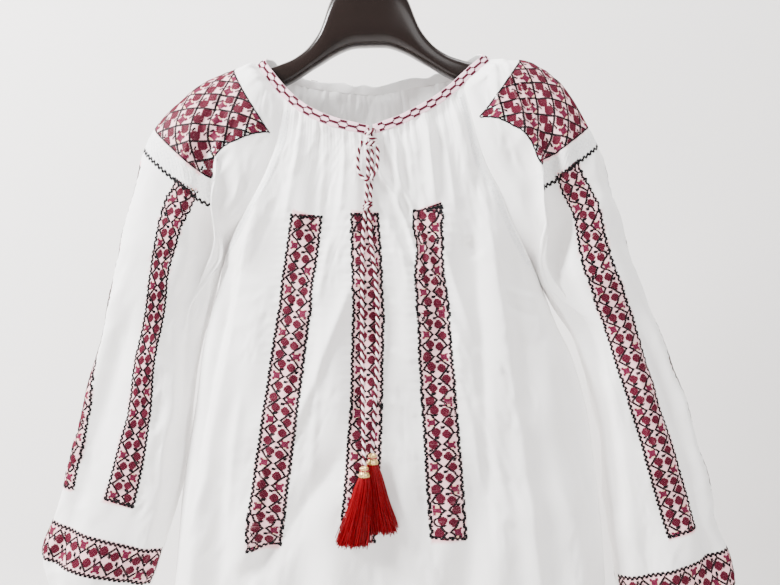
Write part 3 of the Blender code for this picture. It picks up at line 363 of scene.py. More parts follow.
def swing(part: Array, waves: float, phase: float = 0.0) -> Array:
    """Sine of so many waves over a part from 0 to 1."""
    return np.sin(math.tau * waves * part + phase)


def gather_wave(part: Array, waves: float, distance: Array, height: float = 2.4) -> Array:
    """Gathers that open just below a band and fade down the cloth: an uneven cosine.

    Short gathers die away within a hand's width, long ones run on as soft folds.

    Args:
        part: 0 to 1 across the panel.
        waves: how many gathers.
        distance: millimetres below the band.
        height: of a fully open gather.

    Returns:
        Height of the cloth.
    """
    uneven = 2.2 * swing(part, 1.7, 0.6) + 1.3 * swing(part, 4.3, 2.1) + 0.8 * swing(part, 8.9)
    opened = 1 - np.exp(-distance / 5.0)
    own = swing(part, 4.7, 0.4) + swing(part, 9.3, 2.0)
    drift = 0.9 * np.sin(distance / 37.0 + 5.0 * part)
    short = (0.75 + 0.2 * own) * np.cos(math.tau * waves * part + uneven)
    short = short * np.exp(-distance / (13.0 + 5.0 * own))
    turn = math.tau * 0.56 * waves * part + 1.4 * uneven + drift
    long = (0.34 + 0.16 * swing(part, 3.1, 1.1)) * np.cos(turn)
    long = long * np.exp(-distance / (95.0 + 30.0 * own))
    return height * (0.72 * short + long) * opened


# Unevenness of the cloth, from large to small: height, kind, usual wavelengths across and down.
BODY_CREASES = ((2.3, soft_noise, 56, 180), (1.5, crumple, 34, 120), (0.5, crumple, 14, 44))
SLEEVE_CREASES = ((1.8, soft_noise, 46, 120), (1.3, crumple, 26, 90), (0.5, crumple, 13, 34))


@dataclass
class ClothGrid:
    """Dense net of one cloth panel: its points, outward normals and the distance across each row."""

    points: Array
    outward: float
    normals: Array = field(init=False)
    arcs: Array = field(init=False)

    def __post_init__(self) -> None:
        """Work out the normals and the distances."""
        self.refresh()

    def refresh(self) -> None:
        """Work out the normals and the distances again."""
        down = np.gradient(self.points, axis=0)
        across = np.gradient(self.points, axis=1)
        self.normals = unit(np.cross(across, down)) * self.outward
        steps = np.linalg.norm(np.diff(self.points, axis=1), axis=2)
        zero = np.zeros((len(self.points), 1))
        self.arcs = np.concatenate([zero, np.cumsum(steps, axis=1)], axis=1)

    def raise_by(self, height: Array) -> None:
        """Move the cloth out along its normals."""
        self.points = self.points + self.normals * height[..., None]
        self.refresh()

    def row_at(self, table: Array, rows: Array) -> Array:
        """Rows of a table at fractional row numbers."""
        rows = np.clip(rows, 0, len(table) - 1.001)
        first = np.floor(rows).astype(int)
        share = (rows - first).reshape((-1,) + (1,) * (table.ndim - 1))
        return table[first] * (1 - share) + table[first + 1] * share

    def place(self, rows: Array, arcs: Array) -> tuple[Array, Array]:
        """Points and normals at distances along fractional rows, a line of distances for each."""
        return self.sample(np.broadcast_to(rows[:, None], arcs.shape), self.columns_at(rows, arcs))

    def columns_at(self, rows: Array, arcs: Array) -> Array:
        """Fractional columns at distances along fractional rows, one row for each line."""
        row_arcs = self.row_at(self.arcs, rows)
        columns = np.arange(self.arcs.shape[1])
        return np.stack([np.interp(arcs[line], row_arcs[line], columns) for line in range(len(rows))])

    def sample(self, rows: Array, columns: Array) -> tuple[Array, Array]:
        """Points and normals at fractional rows and columns, one pair for each place."""
        rows = np.clip(rows, 0, self.points.shape[0] - 1.001)
        columns = np.clip(columns, 0, self.points.shape[1] - 1.001)
        row = rows.astype(int)
        column = columns.astype(int)
        down = (rows - row)[..., None]
        over = (columns - column)[..., None]
        found = []
        for table in (self.points, self.normals):
            upper = table[row, column] * (1 - over) + table[row, column + 1] * over
            lower = table[row + 1, column] * (1 - over) + table[row + 1, column + 1] * over
            found.append(upper * (1 - down) + lower * down)
        return found[0], unit(found[1])

    def faces(self) -> Array:
        """Quads of the net, turned outwards."""
        rows, columns = self.points.shape[:2]
        corner = np.arange(rows * columns).reshape(rows, columns)
        quads = np.stack([corner[:-1, :-1], corner[:-1, 1:], corner[1:, 1:], corner[1:, :-1]], axis=-1)
        quads = quads.reshape(-1, 4)
        return quads if self.outward > 0 else quads[:, ::-1]

    def trace(self, guide: tuple, reach: int = 4) -> "Line":
        """Line on the cloth that shows at the guide's places when seen from the front.

        Args:
            guide: rows of x, z and width, from top to bottom.
            reach: how many rows the line is smoothed over, each way.

        Returns:
            The line, with a width for each of its samples.
        """
        guide_rows = np.array(guide)
        x = self.points[..., 0]
        y = self.points[..., 1]
        z = self.points[..., 2]
        wanted = smooth_curve(guide_rows[:, 1], guide_rows[:, [0, 2]], z)
        miss = x - wanted[..., 0]
        crosses = (miss[:, :-1] * miss[:, 1:] <= 0) & (self.normals[:, :-1, 1] < 0.1)
        best = np.argmin(np.where(crosses, y[:, :-1], 1e6), axis=1)
        rows = np.arange(len(x))
        gap = np.abs(miss[rows, best]) + np.abs(miss[rows, best + 1])
        found = best + np.abs(miss[rows, best]) / np.maximum(gap, 1e-9)
        line_z = z[rows, best]
        top, bottom = guide_rows[0, 1], guide_rows[-1, 1]
        good = crosses.any(axis=1) & (line_z <= top) & (line_z >= bottom)
        rows = rows[good]
        found = smoothed(found[good], reach)
        columns = np.arange(x.shape[1])
        arcs = np.array([np.interp(column, columns, self.arcs[row]) for row, column in zip(rows, found)])
        widths = np.interp(-line_z[good], -guide_rows[:, 1], guide_rows[:, 2])
        return Line(self, rows.astype(float), arcs, widths)


@dataclass
class Line:
    """Line down a cloth panel: fractional rows, distances across, and a band's width there."""

    grid: ClothGrid
    rows: Array
    arcs: Array
    widths: Array

    def lattice(self, columns: int, pitch: float = STITCH) -> tuple[Array, Array]:
        """Corner points of the stitches of a band along the line.

        Args:
            columns: stitches across the band.
            pitch: height of a stitch.

        Returns:
            Points and normals of the corners.
        """
        middle, _ = self.grid.place(self.rows, self.arcs[:, None])
        along = lengths_along(middle[:, 0])
        at = np.arange(0.0, along[-1], pitch)
        rows = np.interp(at, along, self.rows)
        arcs = np.interp(at, along, self.arcs)
        widths = np.interp(at, along, self.widths)
        across = (np.arange(columns + 1) / columns - 0.5)[None, :] * widths[:, None]
        found = self.grid.columns_at(rows, arcs[:, None] + across)
        line = self.grid.sample(rows[:, None], self.grid.columns_at(rows, arcs[:, None]))[0]
        away = unit(np.gradient(line[:, 0], axis=0))[:, None]
        row_step = np.gradient(at, rows)[:, None]
        square = np.broadcast_to(rows[:, None], found.shape)
        for _ in range(3):
            points = self.grid.sample(square, found)[0]
            square = square - np.sum((points - line) * away, axis=-1) / row_step
        return self.grid.sample(square, found)

    def shifted(self, move: Array, width: float) -> "Line":
        """The same line moved across the cloth."""
        return Line(self.grid, self.rows, self.arcs + move, np.full_like(self.widths, width))

    def nearness(self) -> tuple[Array, Array]:
        """Distance of each net point from the band's edge, and the distance down the band.

        Returns:
            Millimetres outside the band's edge (negative inside, large where there is no band)
            and millimetres along it.
        """
        grid_rows = np.arange(len(self.grid.points))
        arcs = np.interp(grid_rows, self.rows, self.arcs)
        half = np.interp(grid_rows, self.rows, self.widths) / 2
        off = np.abs(self.grid.arcs - arcs[:, None]) - half[:, None]
        missed = (grid_rows < self.rows[0]) | (grid_rows > self.rows[-1])
        off = off + np.where(missed, 1e3, 0.0)[:, None]
        return off, self.grid.points[..., 2]


class Neckline:
    """The neckband's middle line and the edge that the panels hang from."""

    def __init__(self) -> None:
        """Sample the route and its frame: along, across (up, leaning in) and out."""
        route = np.array(NECK_ROUTE)
        keys = lengths_along(route)
        self.steps = np.linspace(0.0, keys[-1], 2400)
        self.middle = smooth_curve(keys, route, self.steps)
        self.along = unit(np.gradient(self.middle, axis=0))
        inward = unit(-self.middle * np.array([1.0, 1.0, 0.0]))
        side = np.clip(np.abs(self.middle[:, 0]) / 120.0, 0.0, 1.0)[:, None] ** 3
        lean_up = unit(np.array([0.0, 0.0, 1.0]) + (0.10 + 1.5 * side) * inward)
        across = lean_up - np.sum(lean_up * self.along, axis=1, keepdims=True) * self.along
        self.across = unit(across)
        self.out = unit(np.cross(self.across, self.along))

    def index_at(self, seam: str) -> int:
        """Sample where the given raglan seam meets the band."""
        same_half = (self.middle[:, 1] < 0) == ("front" in seam)
        miss = np.abs(self.middle[:, 0] - RAGLAN_TOP_X[seam]) + np.where(same_half, 0.0, 1000.0)
        return int(np.argmin(miss))

    def edge(self, first: int, last: int) -> Array:
        """Line inside the band's lower edge between two samples, in the given order."""
        step = 1 if last >= first else -1
        picks = np.arange(first, last + step, step)
        drop = NECKBAND_WIDTH / 2 - 2.0
        return self.middle[picks] - drop * self.across[picks]

    def front_edge(self) -> Array:
        """Edge from the left raglan seam across the notch to the right one."""
        left = self.edge(self.index_at("front_left"), 0)
        right = self.edge(len(self.middle) - 1, self.index_at("front_right"))
        return np.concatenate([left, right])

    def back_edge(self) -> Array:
        """Edge across the back, from the left raglan seam to the right one."""
        return self.edge(self.index_at("back_left"), self.index_at("back_right"))

    def sleeve_edge(self, side: Side) -> Array:
        """Edge over one shoulder, from the front raglan seam to the back one."""
        return self.edge(self.index_at("front_" + side.value), self.index_at("back_" + side.value))

    def seam_line(self, seam: str) -> Array:
        """One panel edge from the neckband to the hem."""
        index = self.index_at(seam)
        return np.vstack([self.edge(index, index)[0], np.array(SEAMS[seam])])


@dataclass
class BodyPanel:
    """Front or back: a net stretched between the neckband, the two seams and the hem.

    X and Z are stretched straight between the edges. Y swells from the seams to the panel's
    depth by (1 - |2u - 1|^3)^0.55, flat in the middle and round at the sides.
    """

    neckline: Neckline
    name: str
    columns: int
    rows: int
    gathers: int
    folds: tuple
    seed: int

    @property
    def facing(self) -> float:
        """-1 for the front, +1 for the back."""
        return -1.0 if self.name == "front" else 1.0

    def row_shares(self) -> Array:
        """Parts of the fall, closer together near the gathers."""
        even = np.linspace(0.0, 1.0, self.rows + 1)
        return 0.45 * even + 0.55 * even**2

    def base(self) -> tuple[Array, Array, Array]:
        """Smooth surface without gathers or folds.

        Returns:
            Points, the part across (0 to 1) and the distance below the band of each point.
        """
        edge = self.neckline.front_edge() if self.name == "front" else self.neckline.back_edge()
        parts = np.linspace(0.0, 1.0, self.columns + 1)
        top = spread_along(edge, parts)
        left = self.neckline.seam_line(self.name + "_left")
        right = self.neckline.seam_line(self.name + "_right")
        share = self.row_shares()[:, None]
        u = parts[None, :]
        left_z = left[0, 2] + share * (HEM_Z - left[0, 2])
        right_z = right[0, 2] + share * (HEM_Z - right[0, 2])
        left_at = smooth_curve(left[:, 2], left[:, :2], left_z[:, 0], settle=True)
        right_at = smooth_curve(right[:, 2], right[:, :2], right_z[:, 0], settle=True)
        left_x = left_at[:, :1]
        right_x = right_at[:, :1]
        hem_x = left_x[-1] + u * (right_x[-1] - left_x[-1])
        net_x = (1 - share) * top[None, :, 0] + share * hem_x
        net_left = (1 - share) * left_x[0] + share * left_x[-1]
        net_right = (1 - share) * right_x[0] + share * right_x[-1]
        x = net_x + (1 - u) * (left_x - net_left) + u * (right_x - net_right)
        z = (1 - share) * top[None, :, 2] + share * HEM_Z
        depth_rows = np.array(BODY_DEPTH)
        column = 1 if self.name == "front" else 2
        depth = smooth_curve(depth_rows[:, 0], depth_rows[:, column], z)[..., 0]
        seam_y = (1 - u) * left_at[:, 1:] + u * right_at[:, 1:]
        swell = (1 - np.abs(2 * u - 1) ** BODY_SQUARENESS) ** BODY_ROUNDNESS
        settled = seam_y + (self.facing * depth - seam_y) * swell
        distance = share * (-HEM_Z + top[None, :, 2])
        hang = step_up(distance / 110.0)
        y = settled + (1 - hang) * (top[None, :, 1] - settled[:1])
        return np.stack([x, y, z], axis=-1), u, distance

    def build(self) -> ClothGrid:
        """Surface with its gathers, long folds, drag creases and hem waves."""
        points, u, distance = self.base()
        grid = ClothGrid(points, outward=self.facing)
        share = self.row_shares()[:, None]
        x = points[..., 0]
        z = points[..., 2]
        near_seam = step_up(np.minimum(u, 1 - u) / 0.06)
        cloth = near_seam * step_up(distance / 14.0)
        fine = swing(u, self.gathers * 2.6, 3.0 * np.sin(9.0 * u + 0.02 * distance))
        hem_share = step_up((share - 0.45) / 0.55)
        lean = x + 0.25 * (z + 400.0) * np.sign(x)
        rise = gather_wave(u, self.gathers, distance) * near_seam
        rise += 0.55 * fine * (1 - np.exp(-distance / 4.0)) * np.exp(-distance / 26.0) * near_seam
        rise += 1.35 * fold_field(x, z, self.folds) * near_seam * step_up(distance / 30.0)
        rise += 7.0 * hem_share * swing(u, 6, 1.2 * np.sin(4.0 * u + 2.0 * share) - 0.25) * near_seam
        for number, (height, kind, across, down) in enumerate(BODY_CREASES):
            rise += height * kind(lean if number else x, z, self.seed + number, across, down) * cloth
        grid.raise_by(rise)
        return grid


class SleeveSurface:
    """One raglan sleeve: open along the raglan seams, a tube below the underarm.

    A section runs from its inner edge along the front to the outer edge and back along the rear,
    on a quarter turn each way; `tuck` and `lap` fold the cloth that hangs from the shoulder.
    """

    def __init__(self, neckline: Neckline, side: Side) -> None:
        """Read the side's sections."""
        self.side = side
        self.rows = np.array(SLEEVE_ROWS[side.value])
        self.neck = neckline.sleeve_edge(side)
        self.front_seam = neckline.seam_line("front_" + side.value)
        self.back_seam = neckline.seam_line("back_" + side.value)
        ridge = int(np.argmax(self.neck[:, 2]))
        first = np.array([[
            self.neck[0, 0], self.neck[0, 2], self.neck[ridge, 0], self.neck[ridge, 2],
            self.neck[-1, 2], 30.0, 30.0, 1.0, 0.0, 0.0,
        ]])
        self.rows = np.vstack([first, self.rows])
        self.keys = lengths_along((self.rows[:, :2] + self.rows[:, 2:4]) / 2)
        self.ridge_part = lengths_along(self.neck)[ridge] / lengths_along(self.neck)[-1]
        self.underarm = self.keys[UNDERARM_ROW + 1]
        self.length = self.keys[-1]

    def base(self, distances: Array, parts: Array) -> Array:
        """Smooth surface at distances down the sleeve and parts round it.

        Args:
            distances: millimetres from the neckband.
            parts: 0 at the inner front, 0.5 at the outer edge, 1 at the inner back.

        Returns:
            Grid of points.
        """
        parts = parts[None, :]
        table = smooth_curve(self.keys, self.rows, distances)
        columns = (table[:, number, None] for number in range(table.shape[1]))
        inner_x, inner_z, outer_x, outer_z, back_z, front, back, spread, tuck, lap = columns
        sign = self.side.sign
        open_part = step_up((self.underarm - distances) / 75.0)[:, None]
        below = distances[:, None] >= self.underarm
        front_at, back_at = (
            smooth_curve(seam[:, 2], seam[:, :2], height[:, 0], settle=True)
            for seam, height in ((self.front_seam, inner_z), (self.back_seam, back_z))
        )
        shift_x = sign * 1.1 * (1 - open_part)
        front_x = np.where(below, inner_x, front_at[:, :1] + shift_x)
        back_x = np.where(below, inner_x, back_at[:, :1] + shift_x)
        middle_y = SLEEVE_BACK_SHIFT * step_up((distances - self.underarm) / 60.0)[:, None]
        front_y = np.where(below, middle_y, front_at[:, 1:])
        back_y = np.where(below, middle_y, back_at[:, 1:])

        on_front = parts <= 0.5
        to_outer = np.where(on_front, 2 * parts, 2 * (1 - parts))
        turn = math.pi / 2 * to_outer ** np.where(on_front, spread, 1.0)
        reach = open_part * np.sin(turn) + (1 - open_part) * np.sin(turn) ** 2
        seam_x = np.where(on_front, front_x, back_x)
        seam_y = np.where(on_front, front_y, back_y)
        seam_z = np.where(on_front, inner_z, back_z)
        x = seam_x + (outer_x - seam_x) * reach
        z = seam_z + (outer_z - seam_z) * reach
        facing = np.where(on_front, -1.0, 1.0)
        deep = np.where(on_front, front, back)
        belly = np.maximum(np.sin(2 * turn), 0.0) ** 0.8
        open_y = seam_y * np.cos(turn) ** 0.9 + facing * (deep - np.abs(seam_y) * 0.75) * belly
        y = open_part * open_y + (1 - open_part) * (middle_y + facing * deep * belly)

        row_length = np.hypot(outer_x - front_x, outer_z - inner_z)
        tuck_turn = math.pi / 2 * TUCK_AT ** spread
        tuck_reach = open_part * np.sin(tuck_turn) + (1 - open_part) * np.sin(tuck_turn) ** 2
        offset = (reach - tuck_reach) * row_length
        tucked = np.where(on_front, 1.0, 0.0)
        fold_out = np.exp(-((offset / 7.0) ** 2)) * 0.55
        fold_in = np.exp(-(((offset - 13.0) / 8.0) ** 2))
        y = y + tucked * tuck * (fold_in - fold_out)
        x = x - sign * tucked * lap * np.exp(-(((offset - 8.0) / 6.5) ** 2))

        points = np.stack([x, y, z + 0 * x], axis=-1)
        ease = step_up(distances / self.keys[1])[:, None, None]
        return ease * points + (1 - ease) * (self.neck_row(parts[0])[None] + points - points[:1])

    def neck_row(self, parts: Array) -> Array:
        """Points along the neckband's edge, with the middle part on the shoulder's ridge."""
        ridge = self.ridge_part
        share = np.where(parts <= 0.5, 2 * parts * ridge, ridge + (2 * parts - 1) * (1 - ridge))
        return spread_along(self.neck, share)

    def outward_sign(self, grid: ClothGrid) -> float:
        """Whether the net's own normals point out of the sleeve."""
        centre = (grid.points.min(axis=1, keepdims=True) + grid.points.max(axis=1, keepdims=True)) / 2
        return float(np.sign(np.sum(grid.normals * (grid.points - centre), axis=-1).mean()))


@dataclass
class SleeveCloth:
    """Sleeve cloth with its gathers, folds and the rows where its embroidery lies."""

    surface: SleeveSurface
    folds: tuple
    seed: int
    columns: int = 106
    row_step: float = 3.2
    neck_gathers: int = 12
    cuff_gathers: int = 26
    wide_gathers: int = 12

    def __post_init__(self) -> None:
        """Lay out the rows, closer together at the neck and at the cuff."""
        length = self.surface.length
        steps = np.linspace(0.0, 1.0, int(length / self.row_step))
        self.distances = length * (steps - 0.045 * np.sin(math.tau * steps))

    def parts(self) -> Array:
        """Parts round the sleeve, crowded where the shoulder's fold lies."""
        even = np.linspace(0.0, 1.0, self.columns + 1)
        return np.interp(even, SLEEVE_COLUMN_SHARES, SLEEVE_ROUND_SHARES)

    def build(self) -> ClothGrid:
        """Surface with gathers at the neck and the cuff, long folds and small creases."""
        parts = self.parts()[None, :]
        distance = self.distances[:, None]
        length = self.surface.length
        grid = ClothGrid(self.surface.base(self.distances, self.parts()), outward=1.0)
        grid.outward = self.surface.outward_sign(grid)
        grid.refresh()
        down = distance / length
        edges = np.minimum(parts, 1 - parts)
        open_edge = distance < self.surface.underarm
        near_seam = np.where(open_edge, step_up(edges / 0.07), 1.0)
        rise = gather_wave(parts, self.neck_gathers, distance) * step_up(edges / 0.07) * 0.8
        for start_part, start_down, end_part, end_down, half_width, height in self.folds:
            along = (down - start_down) / (end_down - start_down)
            centre = start_part + (end_part - start_part) * along
            ends = step_up(along / 0.25) * step_up((1 - along) / 0.2)
            rise = rise + height * np.exp(-(((parts - centre) / half_width) ** 2)) * ends * near_seam
        to_cuff = length - distance
        uneven = 0.5 * swing(parts, 3) + 0.3 * swing(parts, 7)
        pleats = 1.3 * np.cos(math.tau * self.cuff_gathers * parts + uneven)
        pleats = pleats + 2.2 * np.cos(math.tau * self.wide_gathers * parts)
        rise = rise + pleats * (1 - np.exp(-to_cuff / 6.0)) * np.exp(-to_cuff / 24.0)
        cloth = near_seam * step_up(distance / 20.0) * step_up(to_cuff / 20.0)
        cloth = cloth * np.where(open_edge, 1.0, step_up(edges / 0.05))
        for number, (height, kind, across, along) in enumerate(SLEEVE_CREASES):
            rise = rise + height * kind(grid.arcs, distance, self.seed + number, across, along) * cloth
        grid.raise_by(rise)
        return grid

    def stitch_rows(self, start: float, end: float, pitch: float = STITCH) -> Array:
        """Fractional rows of the stitch lines between two distances down the sleeve."""
        at = np.arange(start, end + pitch / 2, pitch)
        return np.interp(at, self.distances, np.arange(len(self.distances)))


def motif_cells(*rows: str) -> Array:
    """Cells of a motif from rows of characters: '#' is a stitch."""
    return np.array([[mark == "#" for mark in row] for row in rows])


ROSE = motif_cells("..###..", ".#####.", "#######", "#######", "#######", ".#####.", "..###..")
STAR = motif_cells("##...##", "#######", ".#####.", ".#####.", ".#####.", "#######", "##...##")
PETALS = motif_cells("..###..", *["......."] * 5, "..###..")


@dataclass(frozen=True)
class RoseTrellis:
    """Chart of the garment's pattern: roses in a black trellis, one diamond each `repeat` stitches."""

    repeat: int = 18
    width: int = 29

    def stamp(self, chart: Array, motif: Array, row: int, column: int, thread: Thread) -> None:
        """Put a motif's stitches round a place of the chart, on empty cells only.

        Args:
            chart: the chart, changed in place.
            motif: which of the motif's cells hold a stitch.
            row: the motif's middle row.
            column: the motif's middle column.
            thread: the motif's thread.
        """
        rows, columns = np.nonzero(motif)
        rows = rows + row - motif.shape[0] // 2
        columns = columns + column - motif.shape[1] // 2
        inside = (rows >= 0) & (rows < chart.shape[0]) & (columns >= 0) & (columns < chart.shape[1])
        rows = rows[inside]
        columns = columns[inside]
        free = chart[rows, columns] == 0
        chart[rows[free], columns[free]] = thread

    def zigzag(self, places: Array) -> Array:
        """Triangle wave: 0 at a whole repeat, 1 half way between."""
        turn = (places % self.repeat) / self.repeat
        return 1 - np.abs(2 * turn - 1)

    def band(self, length: int, phase: int = 0) -> Array:
        """Chart of a straight band: zigzag borders, two mirrored trellis lines and flowers.

        Args:
            length: rows of stitches.
            phase: moves the pattern down.

        Returns:
            Thread numbers, one row for each row of stitches.
        """
        chart = np.zeros((length, self.width), dtype=int)
        rows = np.arange(length)
        middle = self.width // 2
        edge = (rows % 4) // 2
        columns = np.arange(1, self.width - 1)
        step = (columns % 4) // 2
        for thick in (0, 1):
            chart[rows, edge + thick] = Thread.BLACK
            chart[rows, self.width - 1 - edge - thick] = Thread.BLACK
            chart[step + thick, columns] = Thread.BLACK
            chart[length - 1 - step - thick, columns] = Thread.BLACK
        inner = rows[3:-3]
        reach = np.round(0.6 + 9.2 * self.zigzag(inner + phase)).astype(int)
        for side in (-1, 1):
            for thick in (0, 1):
                chart[inner, middle + side * (reach + thick)] = Thread.BLACK
        first = (-phase) % self.repeat - self.repeat
        for number, narrow in enumerate(range(first, length + self.repeat, self.repeat)):
            wide = narrow + self.repeat // 2
            for side in (-1, 1):
                self.stamp(chart, ROSE, wide + side, middle + 4 * side, Thread.CRIMSON)
                self.leaf(chart, wide - 4 * side, middle + 2 * side - (side < 0), 4)
                starry = (number + (side > 0)) % 2 == 0
                low = narrow + (side > 0)
                self.flower(chart, low, middle + 7 * side, starry)
                if not starry:
                    self.leaf(chart, low - 5 * side, middle + 9 * side, 3)
        return chart

    def flower(self, chart: Array, row: int, column: int, starry: bool) -> None:
        """A rose, or a pink star with cream between its petals."""
        if starry:
            self.stamp(chart, STAR, row, column, Thread.PINK)
            self.stamp(chart, PETALS, row, column, Thread.CREAM)
        else:
            self.stamp(chart, ROSE, row, column, Thread.CRIMSON)

    def leaf(self, chart: Array, row: int, column: int, size: int, across: bool = True) -> None:
        """Short black leaf: a dash of stitches round a place."""
        run = np.ones((2, size) if across else (size, 1), dtype=bool)
        run[1:, -1] = not across
        self.stamp(chart, run, row, column, Thread.BLACK)

    def panel(self, cells: Array) -> Array:
        """Chart of a shoulder panel: the same pattern as a diagonal lattice inside a black edge.

        Args:
            cells: which of the lattice's cells lie on the panel.

        Returns:
            Thread numbers, 0 off the panel.
        """
        rows, columns = cells.shape
        row, column = np.mgrid[0:rows, 0:columns]
        repeat = self.repeat
        half = repeat // 2
        down = row - rows // 2
        over = column - columns // 2
        ring = np.pad(cells, 1)
        inside = cells & ring[2:, 1:-1] & ring[:-2, 1:-1] & ring[1:-1, 2:] & ring[1:-1, :-2]
        lattice = ((down + over) % repeat < 2) | ((down - over) % repeat < 2)
        chart = np.where(lattice | ~inside, Thread.BLACK, 0)
        for down_step in range(-rows // repeat - 1, rows // repeat + 2):
            for over_step in range(-columns // repeat - 1, columns // repeat + 2):
                for odd in (0, 1):
                    place_row = rows // 2 + down_step * repeat + odd * half
                    place_column = columns // 2 + over_step * repeat + half + odd * half
                    self.stamp(chart, ROSE, place_row - 3, place_column + 1, Thread.CRIMSON)
                    self.flower(chart, place_row + 4, place_column, (down_step + over_step + odd) % 2 == 0)
                    self.leaf(chart, place_row - 2, place_column - 4, 3, across=False)
                    self.leaf(chart, place_row + 2, place_column + 4, 3, across=False)
        return np.where(cells, chart, 0)


@dataclass
class Stitching:
    """Cross stitches on a lattice of the cloth's points, gathered into one mesh.

    A stitch is two threads from corner to corner of its cell, each a low ridge: its two long
    edges lie just under the cloth and its crest stands out by `height`. Black and white threads
    are thicker, and are half stitches where a line runs on slantwise.
    """

    half_width: float = 0.60
    half_stitch_width: float = 0.90
    height: float = 0.42
    points: list = field(default_factory=list)
    colors: list = field(default_factory=list)

    def add(self, corners: Array, normals: Array, chart: Array, seed: int,
            lift: float = CLOTH_THICKNESS / 2) -> None:
        """Add a chart's stitches.

        Args:
            corners: points of the cells' corners.
            normals: the cloth's normals there.
            chart: thread numbers of the cells.
            seed: draws the small differences between stitches.
            lift: from the corners to the cloth's face.
        """
        corners = corners + normals * lift
        rows = min(chart.shape[0], corners.shape[0] - 1)
        columns = min(chart.shape[1], corners.shape[1] - 1)
        chart = chart[:rows, :columns]
        row, column = np.nonzero(chart)
        draw = np.random.default_rng(seed)
        shade = 1.0 + 0.16 * (draw.random(len(row)) - 0.5)
        base = THREAD_COLORS[chart[row, column]] * shade[:, None]
        ring = np.pad(chart, 1)
        falling = (ring[2:, 2:] == chart).astype(int) + (ring[:-2, :-2] == chart)
        rising = (ring[2:, :-2] == chart).astype(int) + (ring[:-2, 2:] == chart)
        turn = (falling - rising)[row, column]
        half = np.isin(chart[row, column], (Thread.BLACK, Thread.WHITE))
        single = half & (turn != 0)
        width = np.where(half, self.half_stitch_width, self.half_width)[:, None]
        normal = normals[row, column]
        pairs = ((corners[row, column], corners[row + 1, column + 1], 0.0, ~single | (turn > 0)),
                 (corners[row, column + 1], corners[row + 1, column], 0.10, ~single | (turn < 0)))
        for start, end, above, keep in pairs:
            run = (end - start)[keep]
            side = unit(np.cross(normal[keep], run)) * width[keep]
            sink = normal[keep] * 0.08
            crest = normal[keep] * (self.height + above)
            trim = run * 0.05
            start = start[keep]
            end = end[keep]
            self.points.append(np.stack([
                start - side - sink, start + side - sink, start + crest + trim,
                end - side - sink, end + side - sink, end + crest - trim,
            ], axis=1))
            self.colors.append(np.repeat(base[keep][:, None, :], 6, axis=1))

    def mesh(self, name: str, material: Material) -> Object:
        """One object of all the stitches added."""
        points = np.concatenate(self.points)
        start = np.arange(len(points))[:, None, None] * 6
        quads = start + np.array([[0, 3, 5, 2], [2, 5, 4, 1]])
        item = add_mesh(name, points, quads.reshape(-1, 4), material)
        add_colors(item, "thread", np.concatenate(self.colors))
        LOG.info("%s: %d threads", name, len(points))
        return item


def add_mesh(name: str, points: Array, faces: Array, material: Material,
             shift: float = GARMENT_X) -> Object:
    """Object at the origin from points in millimetres.

    Args:
        name: of the object.
        points: vertices in millimetres, in any rows.
        faces: corner numbers, the same count for each face.
        material: for the whole piece.
        shift: moves the piece along X, millimetres.

    Returns:
        The linked object, shaded smooth.
    """
    mesh = bpy.data.meshes.new(name)
    place = (points.reshape(-1, 3) + np.array([shift, 0.0, 0.0])) * MM
    mesh.vertices.add(len(place))
    mesh.vertices.foreach_set("co", place.astype(np.float32).ravel())
    sides = faces.shape[1]
    mesh.loops.add(faces.size)
    mesh.loops.foreach_set("vertex_index", faces.astype(np.int32).ravel())
    mesh.polygons.add(len(faces))
    mesh.polygons.foreach_set("loop_start", np.arange(0, faces.size, sides, dtype=np.int32))
    mesh.update(calc_edges=True)
    mesh.validate()
    mesh.materials.append(material)
    mesh.shade_smooth()
    item = bpy.data.objects.new(name, mesh)
    bpy.context.scene.collection.objects.link(item)
    return item


def add_float(item: Object, name: str, values: Array) -> None:
    """Store a number for each vertex of a piece."""
    store = item.data.attributes.new(name, "FLOAT", "POINT")
    store.data.foreach_set("value", np.asarray(values, dtype=np.float32).ravel())


def add_colors(item: Object, name: str, colors: Array) -> None:
    """Store a colour for each vertex of a piece."""
    store = item.data.attributes.new(name, "FLOAT_COLOR", "POINT")
    rgba = np.concatenate([colors.reshape(-1, 3), np.ones((colors.size // 3, 1))], axis=1)
    store.data.foreach_set("color", rgba.ravel().astype(np.float32))


def add_uv(item: Object, uv: Array) -> None:
    """Store a UV map in metres, given for each vertex."""
    loops = np.empty(len(item.data.loops), dtype=np.int32)
    item.data.loops.foreach_get("vertex_index", loops)
    layer = item.data.uv_layers.new(name="cloth")
    layer.data.foreach_set("uv", (uv.reshape(-1, 2)[loops] * MM).astype(np.float32).ravel())


def add_group(name: str, outputs: tuple[str, ...], inputs: dict[str, float]) -> NodeTree:
    """Empty shader node group with float inputs and outputs.

    Args:
        name: of the group.
        outputs: names of the float outputs.
        inputs: names and default values of the float inputs.

    Returns:
        The group, with its input and output nodes.
    """
    group = bpy.data.node_groups.new(name, "ShaderNodeTree")
    for label, value in inputs.items():
        socket = group.interface.new_socket(label, in_out="INPUT", socket_type="NodeSocketFloat")
        socket.default_value = value
    for label in outputs:
        group.interface.new_socket(label, in_out="OUTPUT", socket_type="NodeSocketFloat")
    group.nodes.new("NodeGroupInput").name = "in"
    group.nodes.new("NodeGroupOutput").name = "out"
    return group


def connect(tree: NodeTree, node: Node, inputs: dict) -> None:
    """Set a node's sockets by name or number, or link them to the output sockets given."""
    for key, value in inputs.items():
        if isinstance(value, NodeSocket):
            tree.links.new(value, node.inputs[key])
        else:
            node.inputs[key].default_value = value


